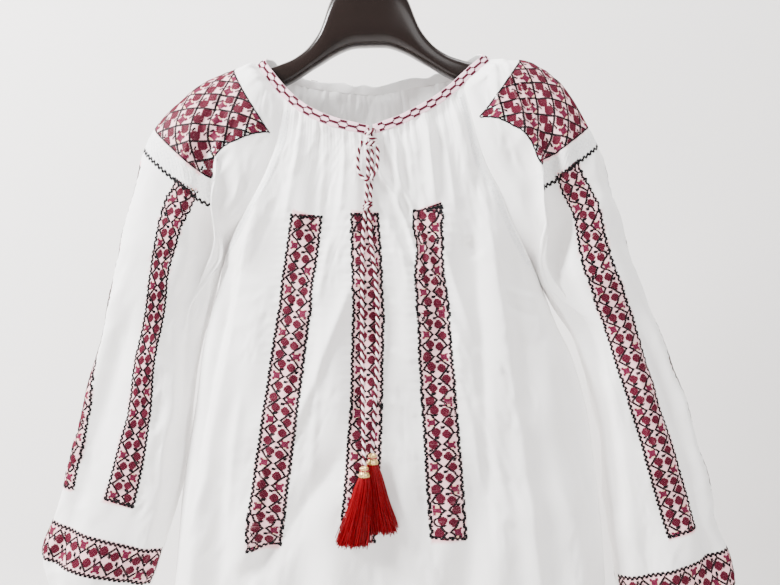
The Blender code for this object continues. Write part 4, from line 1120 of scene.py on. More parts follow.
def wire(tree: NodeTree, kind: str, inputs: dict, **settings: object) -> bpy.types.bpy_prop_collection:
    """Add a node with its settings and inputs.

    Args:
        tree: where the node goes.
        kind: node type, without the start that all shader nodes share.
        inputs: socket name or number to a value, or to the output socket it takes.
        settings: properties of the node.

    Returns:
        The node's outputs.
    """
    made = tree.nodes.new("ShaderNode" + kind)
    for label, value in settings.items():
        setattr(made, label, value)
    connect(tree, made, inputs)
    return made.outputs


def weave_group() -> NodeTree:
    """Plain weave from a UV map in metres: two crossed rows of threads with slubs.

    The height is half the product of the sines along the warp and the weft, raised by a fine
    noise; the mottle is soft noise.
    """
    group = add_group("plain_weave", ("Height", "Mottle"), {"Threads": 1500.0, "Slub": 0.3})
    entry = group.nodes["in"].outputs
    uv = wire(group, "UVMap", {}, uv_map="cloth")[0]
    waves = []
    for axis in wire(group, "SeparateXYZ", {0: uv})[:2]:
        turn = wire(group, "Math", {0: axis, 1: entry["Threads"]}, operation="MULTIPLY")[0]
        waves.append(wire(group, "Math", {0: turn}, operation="SINE")[0])
    over = wire(group, "Math", {0: waves[0], 1: waves[1]}, operation="MULTIPLY")[0]
    slub = wire(group, "TexNoise", {"Vector": uv, "Scale": 900.0, "Detail": 2.0})[0]
    sized = wire(group, "Math", {0: slub, 1: entry["Slub"]}, operation="MULTIPLY")[0]
    height = wire(group, "Math", {0: over, 1: 0.5, 2: sized}, operation="MULTIPLY_ADD")[0]
    mottle = wire(group, "TexNoise", {"Vector": uv, "Scale": 34.0, "Detail": 4.0})[0]
    connect(group, group.nodes["out"], {"Height": height, "Mottle": mottle})
    return group


def grain_group() -> NodeTree:
    """Fine uneven grain from Object coordinates, for threads, plastic and metal."""
    group = add_group("grain", ("Fine", "Broad"), {"Fine Scale": 2500.0, "Broad Scale": 60.0})
    place = wire(group, "TexCoord", {})["Object"]
    for size in ("Fine", "Broad"):
        scale = group.nodes["in"].outputs[size + " Scale"]
        noise = wire(group, "TexNoise", {"Vector": place, "Scale": scale, "Detail": 3.0})[0]
        connect(group, group.nodes["out"], {size: noise})
    return group


def new_material(name: str) -> tuple[Material, NodeTree, Node]:
    """Material with its node tree and its shader."""
    material = bpy.data.materials.new(name)
    material.use_nodes = True
    return material, material.node_tree, material.node_tree.nodes["Principled BSDF"]


def between(tree: NodeTree, value: NodeSocket, low: float, high: float,
            start: float = 0.0, end: float = 1.0) -> NodeSocket:
    """A value from start to end carried to a range from low to high."""
    return wire(tree, "MapRange", {0: value, 1: start, 2: end, 3: low, 4: high})[0]


def shaded(tree: NodeTree, color: NodeSocket | tuple, shade: NodeSocket) -> NodeSocket:
    """A colour multiplied by a shade."""
    return wire(tree, "Mix", {0: 1.0, 6: color, 7: shade}, data_type="RGBA", blend_type="MULTIPLY")[2]


def relief(tree: NodeTree, height: NodeSocket, strength: float) -> NodeSocket:
    """Normal of a relief a fifth of a millimetre deep."""
    return wire(tree, "Bump", {"Height": height, "Strength": strength, "Distance": 0.0002})[0]


@dataclass(frozen=True)
class Finishes:
    """All the materials, made once."""

    cotton: Material
    band: Material
    thread: Material
    cord: Material
    tassel: Material
    gold: Material
    red_bead: Material
    plastic: Material
    steel: Material
    wall: Material


@dataclass(frozen=True)
class ClothFinish:
    """White cotton: weave, a soft mottle, and a faint dye tint where it is embroidered."""

    name: str
    color: Color
    tint: Color
    roughness: float
    sheen: float
    bump: float

    def build(self, weave: NodeTree) -> Material:
        """Material that reads the tint from the cloth's own attribute."""
        material, tree, shader = new_material(self.name)
        pattern = wire(tree, "Group", {}, node_tree=weave)
        tint = wire(tree, "Attribute", {}, attribute_name="tint")["Fac"]
        mixed = wire(tree, "Mix", {0: tint, 6: (*self.color, 1.0), 7: (*self.tint, 1.0)}, data_type="RGBA")[2]
        connect(tree, shader, {
            "Base Color": shaded(tree, mixed, between(tree, pattern["Mottle"], 0.95, 1.03)),
            "Normal": relief(tree, pattern["Height"], self.bump), "Roughness": self.roughness,
            "Sheen Weight": self.sheen, "Sheen Roughness": 0.4, "Specular IOR Level": 0.3,
        })
        return material


@dataclass(frozen=True)
class ThreadFinish:
    """Dyed thread: colour from the piece's attribute or one colour, uneven along its fibres."""

    name: str
    attribute: str
    color: Color
    roughness: float
    sheen: float
    spread: float = 0.25

    def build(self, grain: NodeTree) -> Material:
        """Material with fibre grain in colour, gloss and bump."""
        material, tree, shader = new_material(self.name)
        pattern = wire(tree, "Group", {}, node_tree=grain)
        color = (*self.color, 1.0)
        if self.attribute:
            color = wire(tree, "Attribute", {}, attribute_name=self.attribute)["Color"]
        shade = between(tree, pattern["Fine"], 1 - self.spread, 1 + self.spread, 0.3, 0.7)
        connect(tree, shader, {
            "Base Color": shaded(tree, color, shade), "Normal": relief(tree, pattern["Fine"], 0.25),
            "Roughness": between(tree, pattern["Broad"], self.roughness - 0.08, self.roughness + 0.08),
            "Sheen Weight": self.sheen, "Specular IOR Level": 0.15,
        })
        return material


@dataclass(frozen=True)
class HardFinish:
    """Plastic or metal: fine grain in the gloss and a slight unevenness of colour."""

    name: str
    color: Color
    roughness: float
    metallic: float
    coat: float
    specular: float = 0.5

    def build(self, grain: NodeTree) -> Material:
        """Material whose gloss is a little worn."""
        material, tree, shader = new_material(self.name)
        pattern = wire(tree, "Group", {"Broad Scale": 22.0, "Fine Scale": 900.0}, node_tree=grain)
        connect(tree, shader, {
            "Base Color": shaded(tree, (*self.color, 1.0), between(tree, pattern["Broad"], 0.85, 1.15)),
            "Roughness": between(tree, pattern["Fine"], self.roughness * 0.8, self.roughness * 1.3),
            "Metallic": self.metallic, "Coat Weight": self.coat, "Coat Roughness": 0.12,
            "Specular IOR Level": self.specular,
        })
        return material


@dataclass(frozen=True)
class WallFinish:
    """Plain wall paint that hides nothing from behind: a view from the back looks through it."""

    name: str
    color: Color
    roughness: float

    def build(self) -> Material:
        """Material that is clear on the faces' back sides."""
        material, tree, shader = new_material(self.name)
        connect(tree, shader, {"Base Color": (*self.color, 1.0), "Roughness": self.roughness})
        behind = wire(tree, "NewGeometry", {})["Backfacing"]
        clear = wire(tree, "BsdfTransparent", {})[0]
        seen = wire(tree, "MixShader", {0: behind, 1: shader.outputs[0], 2: clear})[0]
        connect(tree, tree.nodes["Material Output"], {"Surface": seen})
        return material


def make_finishes() -> Finishes:
    """Build every material of the blouse, its hanger and the studio."""
    weave = weave_group()
    grain = grain_group()
    white = (0.93, 0.912, 0.90)
    return Finishes(
        cotton=ClothFinish("white_cotton", white, (0.86, 0.50, 0.52), 0.66, 0.12, 0.25).build(weave),
        band=ClothFinish("band_cotton", white, (0.84, 0.56, 0.63), 0.82, 0.1, 0.45).build(weave),
        thread=ThreadFinish("embroidery_thread", "thread", (0, 0, 0), 0.62, 0.0).build(grain),
        cord=ThreadFinish("cord_cotton", "ply", (0, 0, 0), 0.75, 0.0).build(grain),
        tassel=ThreadFinish("tassel_thread", "", (0.175, 0.0, 0.003), 0.34, 0.0, 0.35).build(grain),
        gold=HardFinish("gold_bead", (0.72, 0.50, 0.20), 0.30, 1.0, 0.0).build(grain),
        red_bead=HardFinish("red_bead", (0.25, 0.008, 0.012), 0.15, 0.0, 0.4).build(grain),
        plastic=HardFinish("hanger_plastic", (0.011, 0.007, 0.006), 0.20, 0.0, 0.2, 0.25).build(grain),
        steel=HardFinish("hook_steel", (0.62, 0.62, 0.63), 0.22, 1.0, 0.0).build(grain),
        wall=WallFinish("studio_wall", (0.80, 0.775, 0.76), 0.9).build(),
    )


def dress(item: Object, slot: str, *nodes: str) -> None:
    """Carry a piece with the body and hide the solids that it stands for."""
    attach(item, "root")
    if nodes:
        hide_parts(*nodes)
    LOG.info("%s: %d faces", item.name, len(item.data.polygons))


def tube_faces(count: int, sides: int, ring: bool = False) -> Array:
    """Quads of a skin round `count` closed sections of `sides` points."""
    section = np.arange(count if ring else count - 1)[:, None]
    side = np.arange(sides)[None, :]
    after = (section + 1) % count * sides
    turned_side = (side + 1) % sides
    quads = (section * sides + side, section * sides + turned_side, after + turned_side, after + side)
    return np.stack(quads, axis=-1).reshape(-1, 4)


def add_tube(name: str, points: Array, material: Material, ring: bool = False,
             shift: float = GARMENT_X) -> Object:
    """Closed skin round a row of sections.

    Args:
        name: of the object.
        points: millimetres, by section and side.
        material: for the whole piece.
        ring: joins the last section to the first, else both ends are capped.
        shift: moves the piece along X, millimetres.

    Returns:
        The object, its faces turned outwards.
    """
    count, sides = points.shape[:2]
    item = add_mesh(name, points, tube_faces(count, sides, ring), material, shift)
    face_outwards(item, (0, 0) if ring else (count, sides))
    return item


def spread_out(*parts: Array) -> Array:
    """Coordinates of broadcast arrays, one point in each place."""
    return np.stack(np.broadcast_arrays(*parts), axis=-1)


def cloth_object(name: str, grid: ClothGrid, material: Material, tint: Array,
                 joined: bool = False) -> Object:
    """Cloth piece from its net, with thickness.

    Args:
        name: of the object.
        grid: the net.
        material: cloth finish.
        tint: 0 to 1 for each net point.
        joined: the last column meets the first below some row, so doubles are merged.

    Returns:
        The object.
    """
    item = add_mesh(name, grid.points, grid.faces(), material)
    rows = lengths_along(grid.points[:, grid.points.shape[1] // 2])
    v = np.broadcast_to(rows[:, None], grid.arcs.shape)
    add_uv(item, np.stack([grid.arcs, v], axis=-1))
    add_float(item, "tint", tint)
    if joined:
        weld = item.modifiers.new("seam", "WELD")
        weld.merge_threshold = 0.00002
    wall = item.modifiers.new("wall", "SOLIDIFY")
    wall.thickness = CLOTH_THICKNESS * MM
    wall.offset = 0.0
    return item


FRONT_FOLDS = (
    (-106, -262, -136, -400, 11, 4.5),
    (-136, -400, -178, -640, 12, 5),
    (-178, -640, -196, -790, 14, 5),
    (-158, -440, -190, -620, 8, -5),
    (-36, -610, -150, -770, 15, -6),
    (-20, -420, -84, -590, 12, 3),
    (26, -255, 32, -330, 6, 3),
    (60, -240, 66, -335, 6, 3),
    (86, -226, 122, -345, 9, 4),
    (122, -345, 168, -650, 13, 5.5),
    (168, -650, 186, -800, 15, 6),
    (112, -400, 128, -700, 10, -4),
    (-75, -268, -91, -350, 5, 2.2),
    (-49, -281, -56, -361, 4, 1.8),
    (-28, -281, -33, -350, 4, 1.6),
    (25, -260, 29, -339, 4, 2.2),
    (41, -255, 48, -334, 4, 2.2),
    (59, -249, 69, -334, 4, 2),
    (75, -244, 89, -339, 4.5, 2.4),
    (4, -297, 36, -345, 5, 2.4),
    (-22, -429, -75, -567, 7, 2.8),
    (-33, -472, -84, -599, 6, -2.4),
    (-107, -694, -139, -737, 12, -4.5),
    (103, -376, 113, -393, 7, -3.2),
    (113, -493, 137, -516, 4, 1.6),
    (115, -546, 142, -573, 4, 1.6),
    (120, -599, 145, -629, 4, 1.7),
    (124, -652, 149, -679, 4, 1.6),
    (142, -429, 179, -440, 4, 1.9),
    (145, -445, 179, -459, 4, -1.8),
    (22, -387, 43, -400, 3.5, 1.3),
    (20, -440, 41, -456, 3.5, 1.3),
    (22, -493, 43, -506, 3.5, 1.3),
    (22, -546, 46, -562, 3.5, 1.3),
    (22, -588, 46, -604, 3.5, 1.3),
    (-116, -281, -141, -323, 6, -4.2),
    (-103, -281, -128, -339, 7, 3.8),
    (-52, -472, -63, -620, 5, 1.8),
    (-139, -546, -154, -673, 6, 2.6),
    (-116, -620, -128, -716, 7, 2.2),
    (-44, -376, -56, -440, 4, 1.6),
    (105, -260, 115, -334, 4, -2),
)
BACK_FOLDS = (
    (-60, -230, -110, -480, 12, 4.5),
    (-110, -480, -150, -800, 15, 6),
    (-20, -240, -36, -520, 11, 3.5),
    (-36, -520, -50, -810, 15, -6),
    (30, -230, 62, -500, 12, 4),
    (62, -500, 84, -810, 15, 6),
    (96, -260, 168, -560, 11, 4),
    (168, -560, 200, -810, 14, -6),
)
# Folds of a sleeve: part round and part down at its start and end, half width, height.
SLEEVE_FOLDS = (
    (0.23, 0.22, 0.09, 0.58, 0.050, -10),
    (0.26, 0.06, 0.19, 0.22, 0.018, -3),
    (0.33, 0.42, 0.36, 0.96, 0.045, -9),
    (0.40, 0.34, 0.42, 0.80, 0.030, 3.5),
    (0.14, 0.46, 0.12, 0.92, 0.035, 5),
    (0.08, 0.50, 0.07, 0.80, 0.025, -3),
    (0.24, 0.55, 0.27, 0.84, 0.022, 2.2),
    (0.60, 0.30, 0.66, 0.90, 0.050, -6),
    (0.73, 0.40, 0.72, 0.92, 0.040, 4),
    (0.84, 0.40, 0.80, 0.94, 0.050, -6),
    (0.92, 0.46, 0.93, 0.88, 0.030, 3),
)

# Bands seen from the front: x, z and width, from top to bottom.
FRONT_BANDS = (
    ((-68, -349, 34), (-84, -470, 38), (-102, -600, 40), (-116, -706, 41.5)),
    ((-7, -346, 31), (-4, -400, 33.5), (-5, -545, 36), (-13.7, -699, 39.5)),
    ((59, -341, 34), (66, -460, 37), (75, -590, 39.5), (83, -695, 42)),
)
SLEEVE_BANDS = {
    Side.LEFT: (
        (-197, -317, 29), (-213, -345.5, 29), (-223, -375.3, 25), (-228.5, -411.5, 20),
        (-234.4, -458.6, 21), (-244.1, -497.6, 22.5), (-252, -570.2, 26), (-261.5, -613.5, 32),
        (-275.5, -665.4, 34.7),
    ),
    Side.RIGHT: (
        (208, -298.2, 32), (225.8, -332.5, 31), (233.9, -362.8, 32), (257.7, -437, 36.5),
        (282.6, -510.6, 38), (306.5, -586.4, 38.2), (328.7, -660, 39), (340, -695, 39.1),
    ),
}
BAND_SPACING = 75.0


@dataclass
class FrontEmbroidery:
    """Three bands down the front, and the small puckers that they pull in the cloth."""

    trellis: RoseTrellis
    pucker: float = 0.8

    def sew(self, grid: ClothGrid, stitching: Stitching) -> Array:
        """Pucker the cloth beside the bands, then lay the stitches on it.

        Args:
            grid: the front.
            stitching: takes the stitches.

        Returns:
            Tint of each net point.
        """
        lines = [grid.trace(guide, reach=10) for guide in FRONT_BANDS]
        tint = pucker_beside(grid, lines, self.pucker)
        for number, line in enumerate(lines):
            corners, normals = line.lattice(self.trellis.width)
            chart = self.trellis.band(len(corners) - 1, phase=5 * number + 10)
            stitching.add(corners, normals, chart, seed=number)
        return tint


def pucker_beside(grid: ClothGrid, lines: list[Line], height: float) -> Array:
    """Short waves across a band's edges, fading over a few millimetres, and the band's tint.

    Args:
        grid: the cloth, changed in place.
        lines: the bands.
        height: of the waves beside the edge.

    Returns:
        1 on a band and 0 off it, for each net point.
    """
    tint = np.zeros(grid.arcs.shape)
    rise = np.zeros(grid.arcs.shape)
    for number, line in enumerate(lines):
        off, along = line.nearness()
        tint = np.maximum(tint, step_up(-off / 1.5))
        beside = np.exp(-np.maximum(off, 0.0) / 7.0) * np.where(off < 0, 0.35, 1.0)
        turn = math.tau * along / 9.5 + 1.7 * np.sin(along / 21.0 + number) + 0.06 * off
        rise += height * np.sin(turn) * np.where(off < 60.0, beside, 0.0)
    grid.raise_by(rise)
    return tint


@dataclass
class SleeveEmbroidery:
    """Shoulder panel, textured strip, black line, long bands and cuff band of one sleeve."""

    cloth: SleeveCloth
    grid: ClothGrid
    stitching: Stitching
    trellis: RoseTrellis
    panel_from: float = 27.0
    panel_stitches: int = 66
    panel_reach: float = 98.0
    slant: float = 24.0
    strip_stitches: int = 13
    line_gap: float = 1.0
    cuff_from: float = 545.0
    drawn_length: float = 636.0
    band_flare: float = 9.0
    second_width: float = 35.0
    strip_gap: float = 3.0
    panel_keep: float = 5.0
    strip_keep: float = 6.0
    line_keep: float = 8.0
    past_panel: float = 12.0
    cuff_pitch: float = 1.48
    cuff_free: float = 9.0

    def sew(self) -> Array:
        """Pucker the cloth beside the bands, lay every stitch and give the net points' tint."""
        scale = self.cloth.surface.length / self.drawn_length
        front = self.grid.trace(SLEEVE_BANDS[self.cloth.surface.side], reach=10)
        apart = np.linspace(BAND_SPACING + self.band_flare, BAND_SPACING, len(front.rows))
        lines = [front, front.shifted(apart, self.second_width)]
        tint = pucker_beside(self.grid, lines, 0.6)
        for number, line in enumerate(lines):
            corners, normals = line.lattice(self.trellis.width)
            chart = self.trellis.band(len(corners) - 1, phase=7 * number + 3)
            self.stitching.add(corners, normals, chart, seed=10 + number)
        panel_end = self.panel_from + self.panel_stitches * STITCH
        tint = np.maximum(tint, self.sew_panel(self.panel_from))
        strip_end = self.sew_strip(panel_end + self.strip_gap)
        self.sew_line(strip_end + self.line_gap)
        tint = np.maximum(tint, self.sew_cuff(self.cuff_from * scale))
        return tint

    def ridge_arcs(self, rows: Array) -> Array:
        """Distance across each row to the shoulder's ridge or outer edge."""
        column = int(np.argmin(np.abs(self.cloth.parts() - 0.5)))
        return self.grid.row_at(self.grid.arcs[:, column], rows)

    def across(self, rows: Array, reach: float, keep: float) -> tuple:
        """Corner lattice that spans both ways from the shoulder's ridge.

        Args:
            rows: fractional rows of the stitch lines.
            reach: millimetres each way from the ridge.
            keep: millimetres left free at the raglan seams.

        Returns:
            Points, normals and a mask of the cells that lie on cloth.
        """
        count = int(2 * reach / STITCH)
        offsets = (np.arange(count + 1) - count / 2) * STITCH
        arcs = self.ridge_arcs(rows)[:, None] + offsets[None, :]
        found = self.grid.columns_at(rows, arcs)
        lower = rows[:, None] + self.slant_rows(offsets)
        points, normals = self.grid.sample(lower, found)
        last = self.grid.points.shape[1] - 1.0
        near = [np.linalg.norm(points - self.grid.sample(lower, np.full_like(found, seam))[0], axis=-1)
                for seam in (0.0, last)]
        every = np.arange(len(self.grid.points))
        edge = np.interp(lower, every, self.grid.arcs[:, -1])
        fits = (np.minimum(*near) > keep) & (arcs > keep) & (arcs < edge - keep) & (lower < len(every) - 2)
        cells = fits[:-1, :-1] & fits[1:, 1:] & fits[:-1, 1:] & fits[1:, :-1]
        return points, normals, cells

    def slant_rows(self, offsets: Array) -> Array:
        """How many rows lower the lines lie beside the ridge: they drop towards the seams."""
        step = self.cloth.surface.length / len(self.cloth.distances)
        return np.clip(np.abs(offsets) / self.panel_reach, 0.0, 1.2) * self.slant / step

    def sew_panel(self, start: float) -> Array:
        """Panel over the shoulder.

        Args:
            start: millimetres from the neckband.

        Returns:
            Tint of each net point.
        """
        rows = self.cloth.stitch_rows(start, start + self.panel_stitches * STITCH)
        points, normals, cells = self.across(rows, self.panel_reach, self.panel_keep)
        self.stitching.add(points, normals, self.trellis.panel(cells), seed=20)
        every = np.arange(len(self.grid.points))
        offset = self.grid.arcs - self.ridge_arcs(every)[:, None]
        dropped = every[:, None] - self.slant_rows(offset)
        return (np.abs(offset) < self.panel_reach) & (dropped >= rows[0]) & (dropped <= rows[-1])

    def sew_strip(self, start: float) -> float:
        """White-on-white lattice strip below the panel; returns where it ends."""
        end = start + self.strip_stitches * STITCH
        rows = self.cloth.stitch_rows(start, end)
        points, normals, cells = self.across(rows, self.panel_reach + self.past_panel, self.strip_keep)
        row, column = np.mgrid[0:cells.shape[0], 0:cells.shape[1]]
        chart = np.where(((row + column) % 4 == 0) | ((row - column) % 4 == 2), Thread.WHITE, 0)
        self.stitching.add(points, normals, np.where(cells, chart, 0), seed=21)
        return end

    def sew_line(self, start: float) -> None:
        """Black zigzag line under the strip."""
        rows = self.cloth.stitch_rows(start, start + 3 * STITCH)
        points, normals, cells = self.across(rows, self.panel_reach + self.past_panel, self.line_keep)
        column = np.arange(cells.shape[1])
        chart = np.zeros(cells.shape, dtype=int)
        wave = (column % 4) // 2
        for thick in (0, 1):
            chart[np.minimum(wave + thick, chart.shape[0] - 1), column] = Thread.BLACK
        self.stitching.add(points, normals, np.where(cells, chart, 0), seed=22)

    def sew_cuff(self, start: float) -> Array:
        """Band round the sleeve above the cuff's gathers, open at the underarm.

        Args:
            start: millimetres from the neckband.

        Returns:
            Tint of each net point.
        """
        rows = self.cloth.stitch_rows(start, start + self.trellis.width * self.cuff_pitch, self.cuff_pitch)
        whole = float(self.grid.row_at(self.grid.arcs[:, -1], rows).min())
        free = self.cuff_free
        count = int((whole - 2 * free) / STITCH)
        arcs = np.broadcast_to((free + np.arange(count + 1) * STITCH)[None, :], (len(rows), count + 1))
        points, normals = self.grid.place(rows, arcs)
        self.stitching.add(points, normals, self.trellis.band(count, phase=4).T, seed=23)
        every = np.arange(len(self.grid.points))[:, None]
        arcs = self.grid.arcs
        return (every >= rows[0]) & (every <= rows[-1]) & (arcs > free) & (arcs < whole - free)


def round_turns(count: int) -> Array:
    """Angles of even steps round a circle."""
    return math.tau * np.arange(count) / count


def signed_power(values: Array, power: float) -> Array:
    """Sizes raised to a power, with their own signs."""
    return np.sign(values) * np.abs(values) ** power


def rounded_section(half_width: float, half_thick: float, sides: int) -> tuple[Array, Array]:
    """First and second coordinates of an oval with full sides: signed powers of cosine and sine."""
    turns = round_turns(sides)
    return half_width * signed_power(np.cos(turns), 0.35), half_thick * signed_power(np.sin(turns), 0.6)


@dataclass
class Neckband:
    """Strip round the neck with its chain of stitches; its two ends meet at the front."""

    neckline: Neckline
    half_thick: float = 1.1
    samples: int = 520
    rows: int = 8
    period: int = 16
    pitch: float = 1.12
    step: float = 1.28

    def build(self, finishes: Finishes) -> Object:
        """Strip of rounded section carried along the neckline, lightly wavy from the gathers."""
        picks = np.linspace(0, len(self.neckline.middle) - 1, self.samples).astype(int)
        middle = self.neckline.middle[picks]
        out = self.neckline.out[picks]
        wide, thick = rounded_section(NECKBAND_WIDTH / 2, self.half_thick, 16)
        distance = self.neckline.steps[picks]
        wave = self.ripple(distance)
        behind = step_up(out[:, 1] / 0.6)
        ruffle = 1.5 * np.sin(distance / 6.5 + 1.6 * np.sin(distance / 15.0)) * behind
        high = (wide / NECKBAND_WIDTH + 0.5)[None, :]
        ruffle = ruffle[:, None] * high
        section = (
            middle[:, None] + (wide[None, :] + ruffle)[..., None] * self.neckline.across[picks][:, None]
            + (thick[None, :] + wave[:, None] + 0.6 * ruffle)[..., None] * out[:, None]
        )
        item = add_tube("neckband_cloth", section, finishes.band)
        turns = np.linspace(0, 26.0, 16)
        add_uv(item, spread_out(distance[:, None], turns[None, :]))
        add_float(item, "tint", np.broadcast_to((thick > 0.2)[None, :], (len(picks), 16)))
        return item

    def ripple(self, distance: Array) -> Array:
        """Small wave of the band's face, from the gathers below it."""
        return 0.22 * np.sin(distance / 3.1 + 2.0 * np.sin(distance / 17.0))

    def chain(self, length: int) -> Array:
        """Chart of the chain: staggered dashes above and below, linked by middle dashes."""
        chart = np.zeros((self.rows, length), dtype=int)
        dash = tuple(range(6))
        middle = tuple(range(7, 15))
        links = (6, self.period - 1)
        for row, places in enumerate((dash, dash, links, middle, middle, links, dash, dash)):
            for place in places:
                chart[row, place::self.period] = Thread.MAROON
        return chart

    def sew(self, stitching: Stitching) -> None:
        """Lay the chain on the band's outer face."""
        at = np.arange(4.0, self.neckline.steps[-1] - 4.0, self.step)
        picks = np.interp(at, self.neckline.steps, np.arange(len(self.neckline.steps))).astype(int)
        height = (self.rows / 2 - np.arange(self.rows + 1)) * self.pitch
        lift = self.half_thick + self.ripple(self.neckline.steps[picks])
        out = self.neckline.out[picks]
        face = self.neckline.middle[picks] + out * lift[:, None]
        corners = face[None] + height[:, None, None] * self.neckline.across[picks][None]
        normals = np.broadcast_to(out[None], corners.shape)
        stitching.add(corners, normals, self.chain(len(at) - 1), seed=30, lift=0.0)


def face_outwards(item: Object, ends: tuple[int, int] = (0, 0), fill: bool = False) -> None:
    """Close a skin and turn all its faces outwards.

    Args:
        item: the piece.
        ends: count of sections and of points round each, of a tube whose two ends are capped.
        fill: caps every hole.
    """
    net = bmesh.new()
    net.from_mesh(item.data)
    count, sides = ends
    if count:
        net.verts.ensure_lookup_table()
        net.faces.new([net.verts[number] for number in range(sides)][::-1])
        net.faces.new([net.verts[(count - 1) * sides + number] for number in range(sides)])
    if fill:
        bmesh.ops.holes_fill(net, edges=net.edges)
    bmesh.ops.recalc_face_normals(net, faces=net.faces)
    net.to_mesh(item.data)
    net.free()


@dataclass
class Cuff:
    """Narrow band below a sleeve's gathers."""

    surface: SleeveSurface
    gap: float = 0.65
    half_thick: float = 0.9

    def build(self, finishes: Finishes) -> None:
        """Closed ring of rounded section that follows the sleeve's last row."""
        parts = np.linspace(0.0, 1.0, 161)[:-1]
        rows = self.surface.base(np.array([self.surface.length - 12.0, self.surface.length]), parts)
        last = rows[1]
        down = unit(last.mean(axis=0) - rows[0].mean(axis=0))
        middle = last + down * (CUFF_HEIGHT / 2 + self.gap)
        out = middle - middle.mean(axis=0)
        out = unit(out - np.sum(out * down, axis=1, keepdims=True) * down)
        wide, thick = rounded_section(CUFF_HEIGHT / 2, self.half_thick, 16)
        section = middle[:, None] + wide[None, :, None] * down + thick[None, :, None] * out[:, None]
        item = add_tube("cuff_cloth_" + self.surface.side.value, section, finishes.cotton, ring=True)
        round_it = np.linspace(0.0, 300.0, len(parts))[:, None]
        add_uv(item, spread_out(round_it, np.linspace(0, 32.0, 16)[None, :]))
        add_float(item, "tint", np.zeros(section.shape[:2]))
        dress(item, "cotton", "cuff_" + self.surface.side.value)


@dataclass(frozen=True)
class TwistedCord:
    """Cord of two plies, white and maroon, wound round each other.

    The section's radius is R(0.52 + 0.58 |cos a|^0.8), which turns once every lay;
    small ridges of the yarn run the other way.
    """

    name: str
    route: tuple
    radius: float = CORD_DIAMETER / 2
    lay: float = 9.2
    sides: int = 20
    step: float = 0.6
    ring: bool = False

    def line(self) -> Array:
        """Points of the middle line."""
        route = np.array(self.route, dtype=float)
        if self.ring:
            route = np.vstack([route, route[:1]])
        keys = lengths_along(route)
        return smooth_curve(keys, route, np.linspace(0.0, keys[-1], int(keys[-1] / self.step)))

    def build(self, finishes: Finishes) -> Object:
        """Closed skin of the two plies with their colours."""
        line = self.line()
        if self.ring:
            line = line[:-1]
        along = unit(np.gradient(line, axis=0))
        side = unit(np.cross(along, np.array([0.0, 1.0, 0.0])))
        front = np.cross(side, along)
        distance = lengths_along(line)[:, None]
        turns = round_turns(self.sides)[None, :]
        own = turns - math.tau * distance / self.lay
        radius = self.radius * (0.52 + 0.58 * np.abs(np.cos(own)) ** 0.8)
        radius = radius + 0.05 * np.sin(8 * own + 4 * math.pi * distance / self.lay)
        skin = (
            line[:, None] + (radius * np.cos(turns))[..., None] * side[:, None]
            + (radius * np.sin(turns))[..., None] * front[:, None]
        )
        item = add_tube(self.name, skin, finishes.cord, self.ring)
        white = np.array([0.84, 0.72, 0.73])
        maroon = np.array([0.060, 0.003, 0.010])
        share = step_up(0.20 + 3.0 * np.cos(own))[..., None]
        add_colors(item, "ply", white * share + maroon * (1 - share))
        return item


# Turns of the tie: centre; half width, depth and rise; tilt. Then the two ends that go in.
TIE_TURNS = (
    ((-1.4, -44.9, -262.5), (4.3, 2.2, 0.825), 0.5), ((0.4, -45.6, -268.0), (4.7, 2.2, 0.95), -0.45),
    ((-0.8, -45.1, -273.6), (4.0, 2.2, 0.775), 0.35),
)
TIE_LEADS = (
    ((-2.4, -40.5, -257.8), (-3.2, -43.6, -260.2), (-2.0, -44.6, -266.0), (1.5, -44.5, -272.0),
     (-3.0, -44.6, -279.5)),
    ((2.2, -40.5, -257.4), (3.2, -43.4, -260.0), (1.0, -44.0, -266.0), (-2.4, -44.2, -271.0),
     (1.0, -44.6, -279.5)),
)


@dataclass
class Drawstring:
    """The cord's two hanging ends, its loop, the tie at the notch and the small knot below."""

    finishes: Finishes

    def build(self) -> None:
        """Build the hanging cords, the loop and the tie."""
        for name, tassel in (("drawstring_left", "left"), ("drawstring_right", "right")):
            x, y, z, end_x = TASSELS[tassel]
            reach_down = ((x, y, z - 12.0), (x + 0.1 * (end_x - x), y, z - 25.0))
            cord = TwistedCord("cord_" + tassel, CORD_ROUTES[name] + reach_down)
            item = cord.build(self.finishes)
            dress(item, "cord", name)
            cord.line()
        loop = TwistedCord("cord_loop", CORD_ROUTES["drawstring_loop"])
        loop_item = loop.build(self.finishes)
        dress(loop_item, "cord", "drawstring_loop")
        self.tie()
        loop.line()

    def wound(self, name: str, centre: tuple, size: tuple, tilt: float, radius: float, count: int) -> Object:
        """One closed turn of cord: a tilted ellipse.

        Args:
            name: of the object.
            centre: of the turn.
            size: half width, half depth and half rise.
            tilt: rise for each millimetre of width.
            radius: of the cord there.
            count: points of its route.

        Returns:
            The turn.
        """
        turns = np.linspace(0, math.tau, count, endpoint=False)
        wide, deep, rise = size
        x = wide * np.cos(turns)
        route = np.stack([x, deep * np.sin(turns), tilt * x + rise * np.sin(turns)], axis=-1) + centre
        return TwistedCord(name, tuple(map(tuple, route)), radius, 9.0, 14, ring=True).build(self.finishes)

    def tie(self) -> None:
        """Turns of cord pulled together before the notch, the ends going in, and the low knot."""
        parts = [self.wound(f"tie_turn_{number}", *turn, 1.7, 16) for number, turn in enumerate(TIE_TURNS)]
        for number, route in enumerate(TIE_LEADS):
            parts.append(TwistedCord(f"tie_lead_{number}", route, radius=1.7, sides=14).build(self.finishes))
        join("tie", parts, "cord", "tie_knot")
        join("low_knot", [
            self.wound(f"low_turn_{number}", (-3.1, -46.1, -339.0 - drop), (4.4, 2.6, 0.0), 0.4, 1.5, 14)
            for number, drop in enumerate((0.0, 3.1))
        ], "cord")


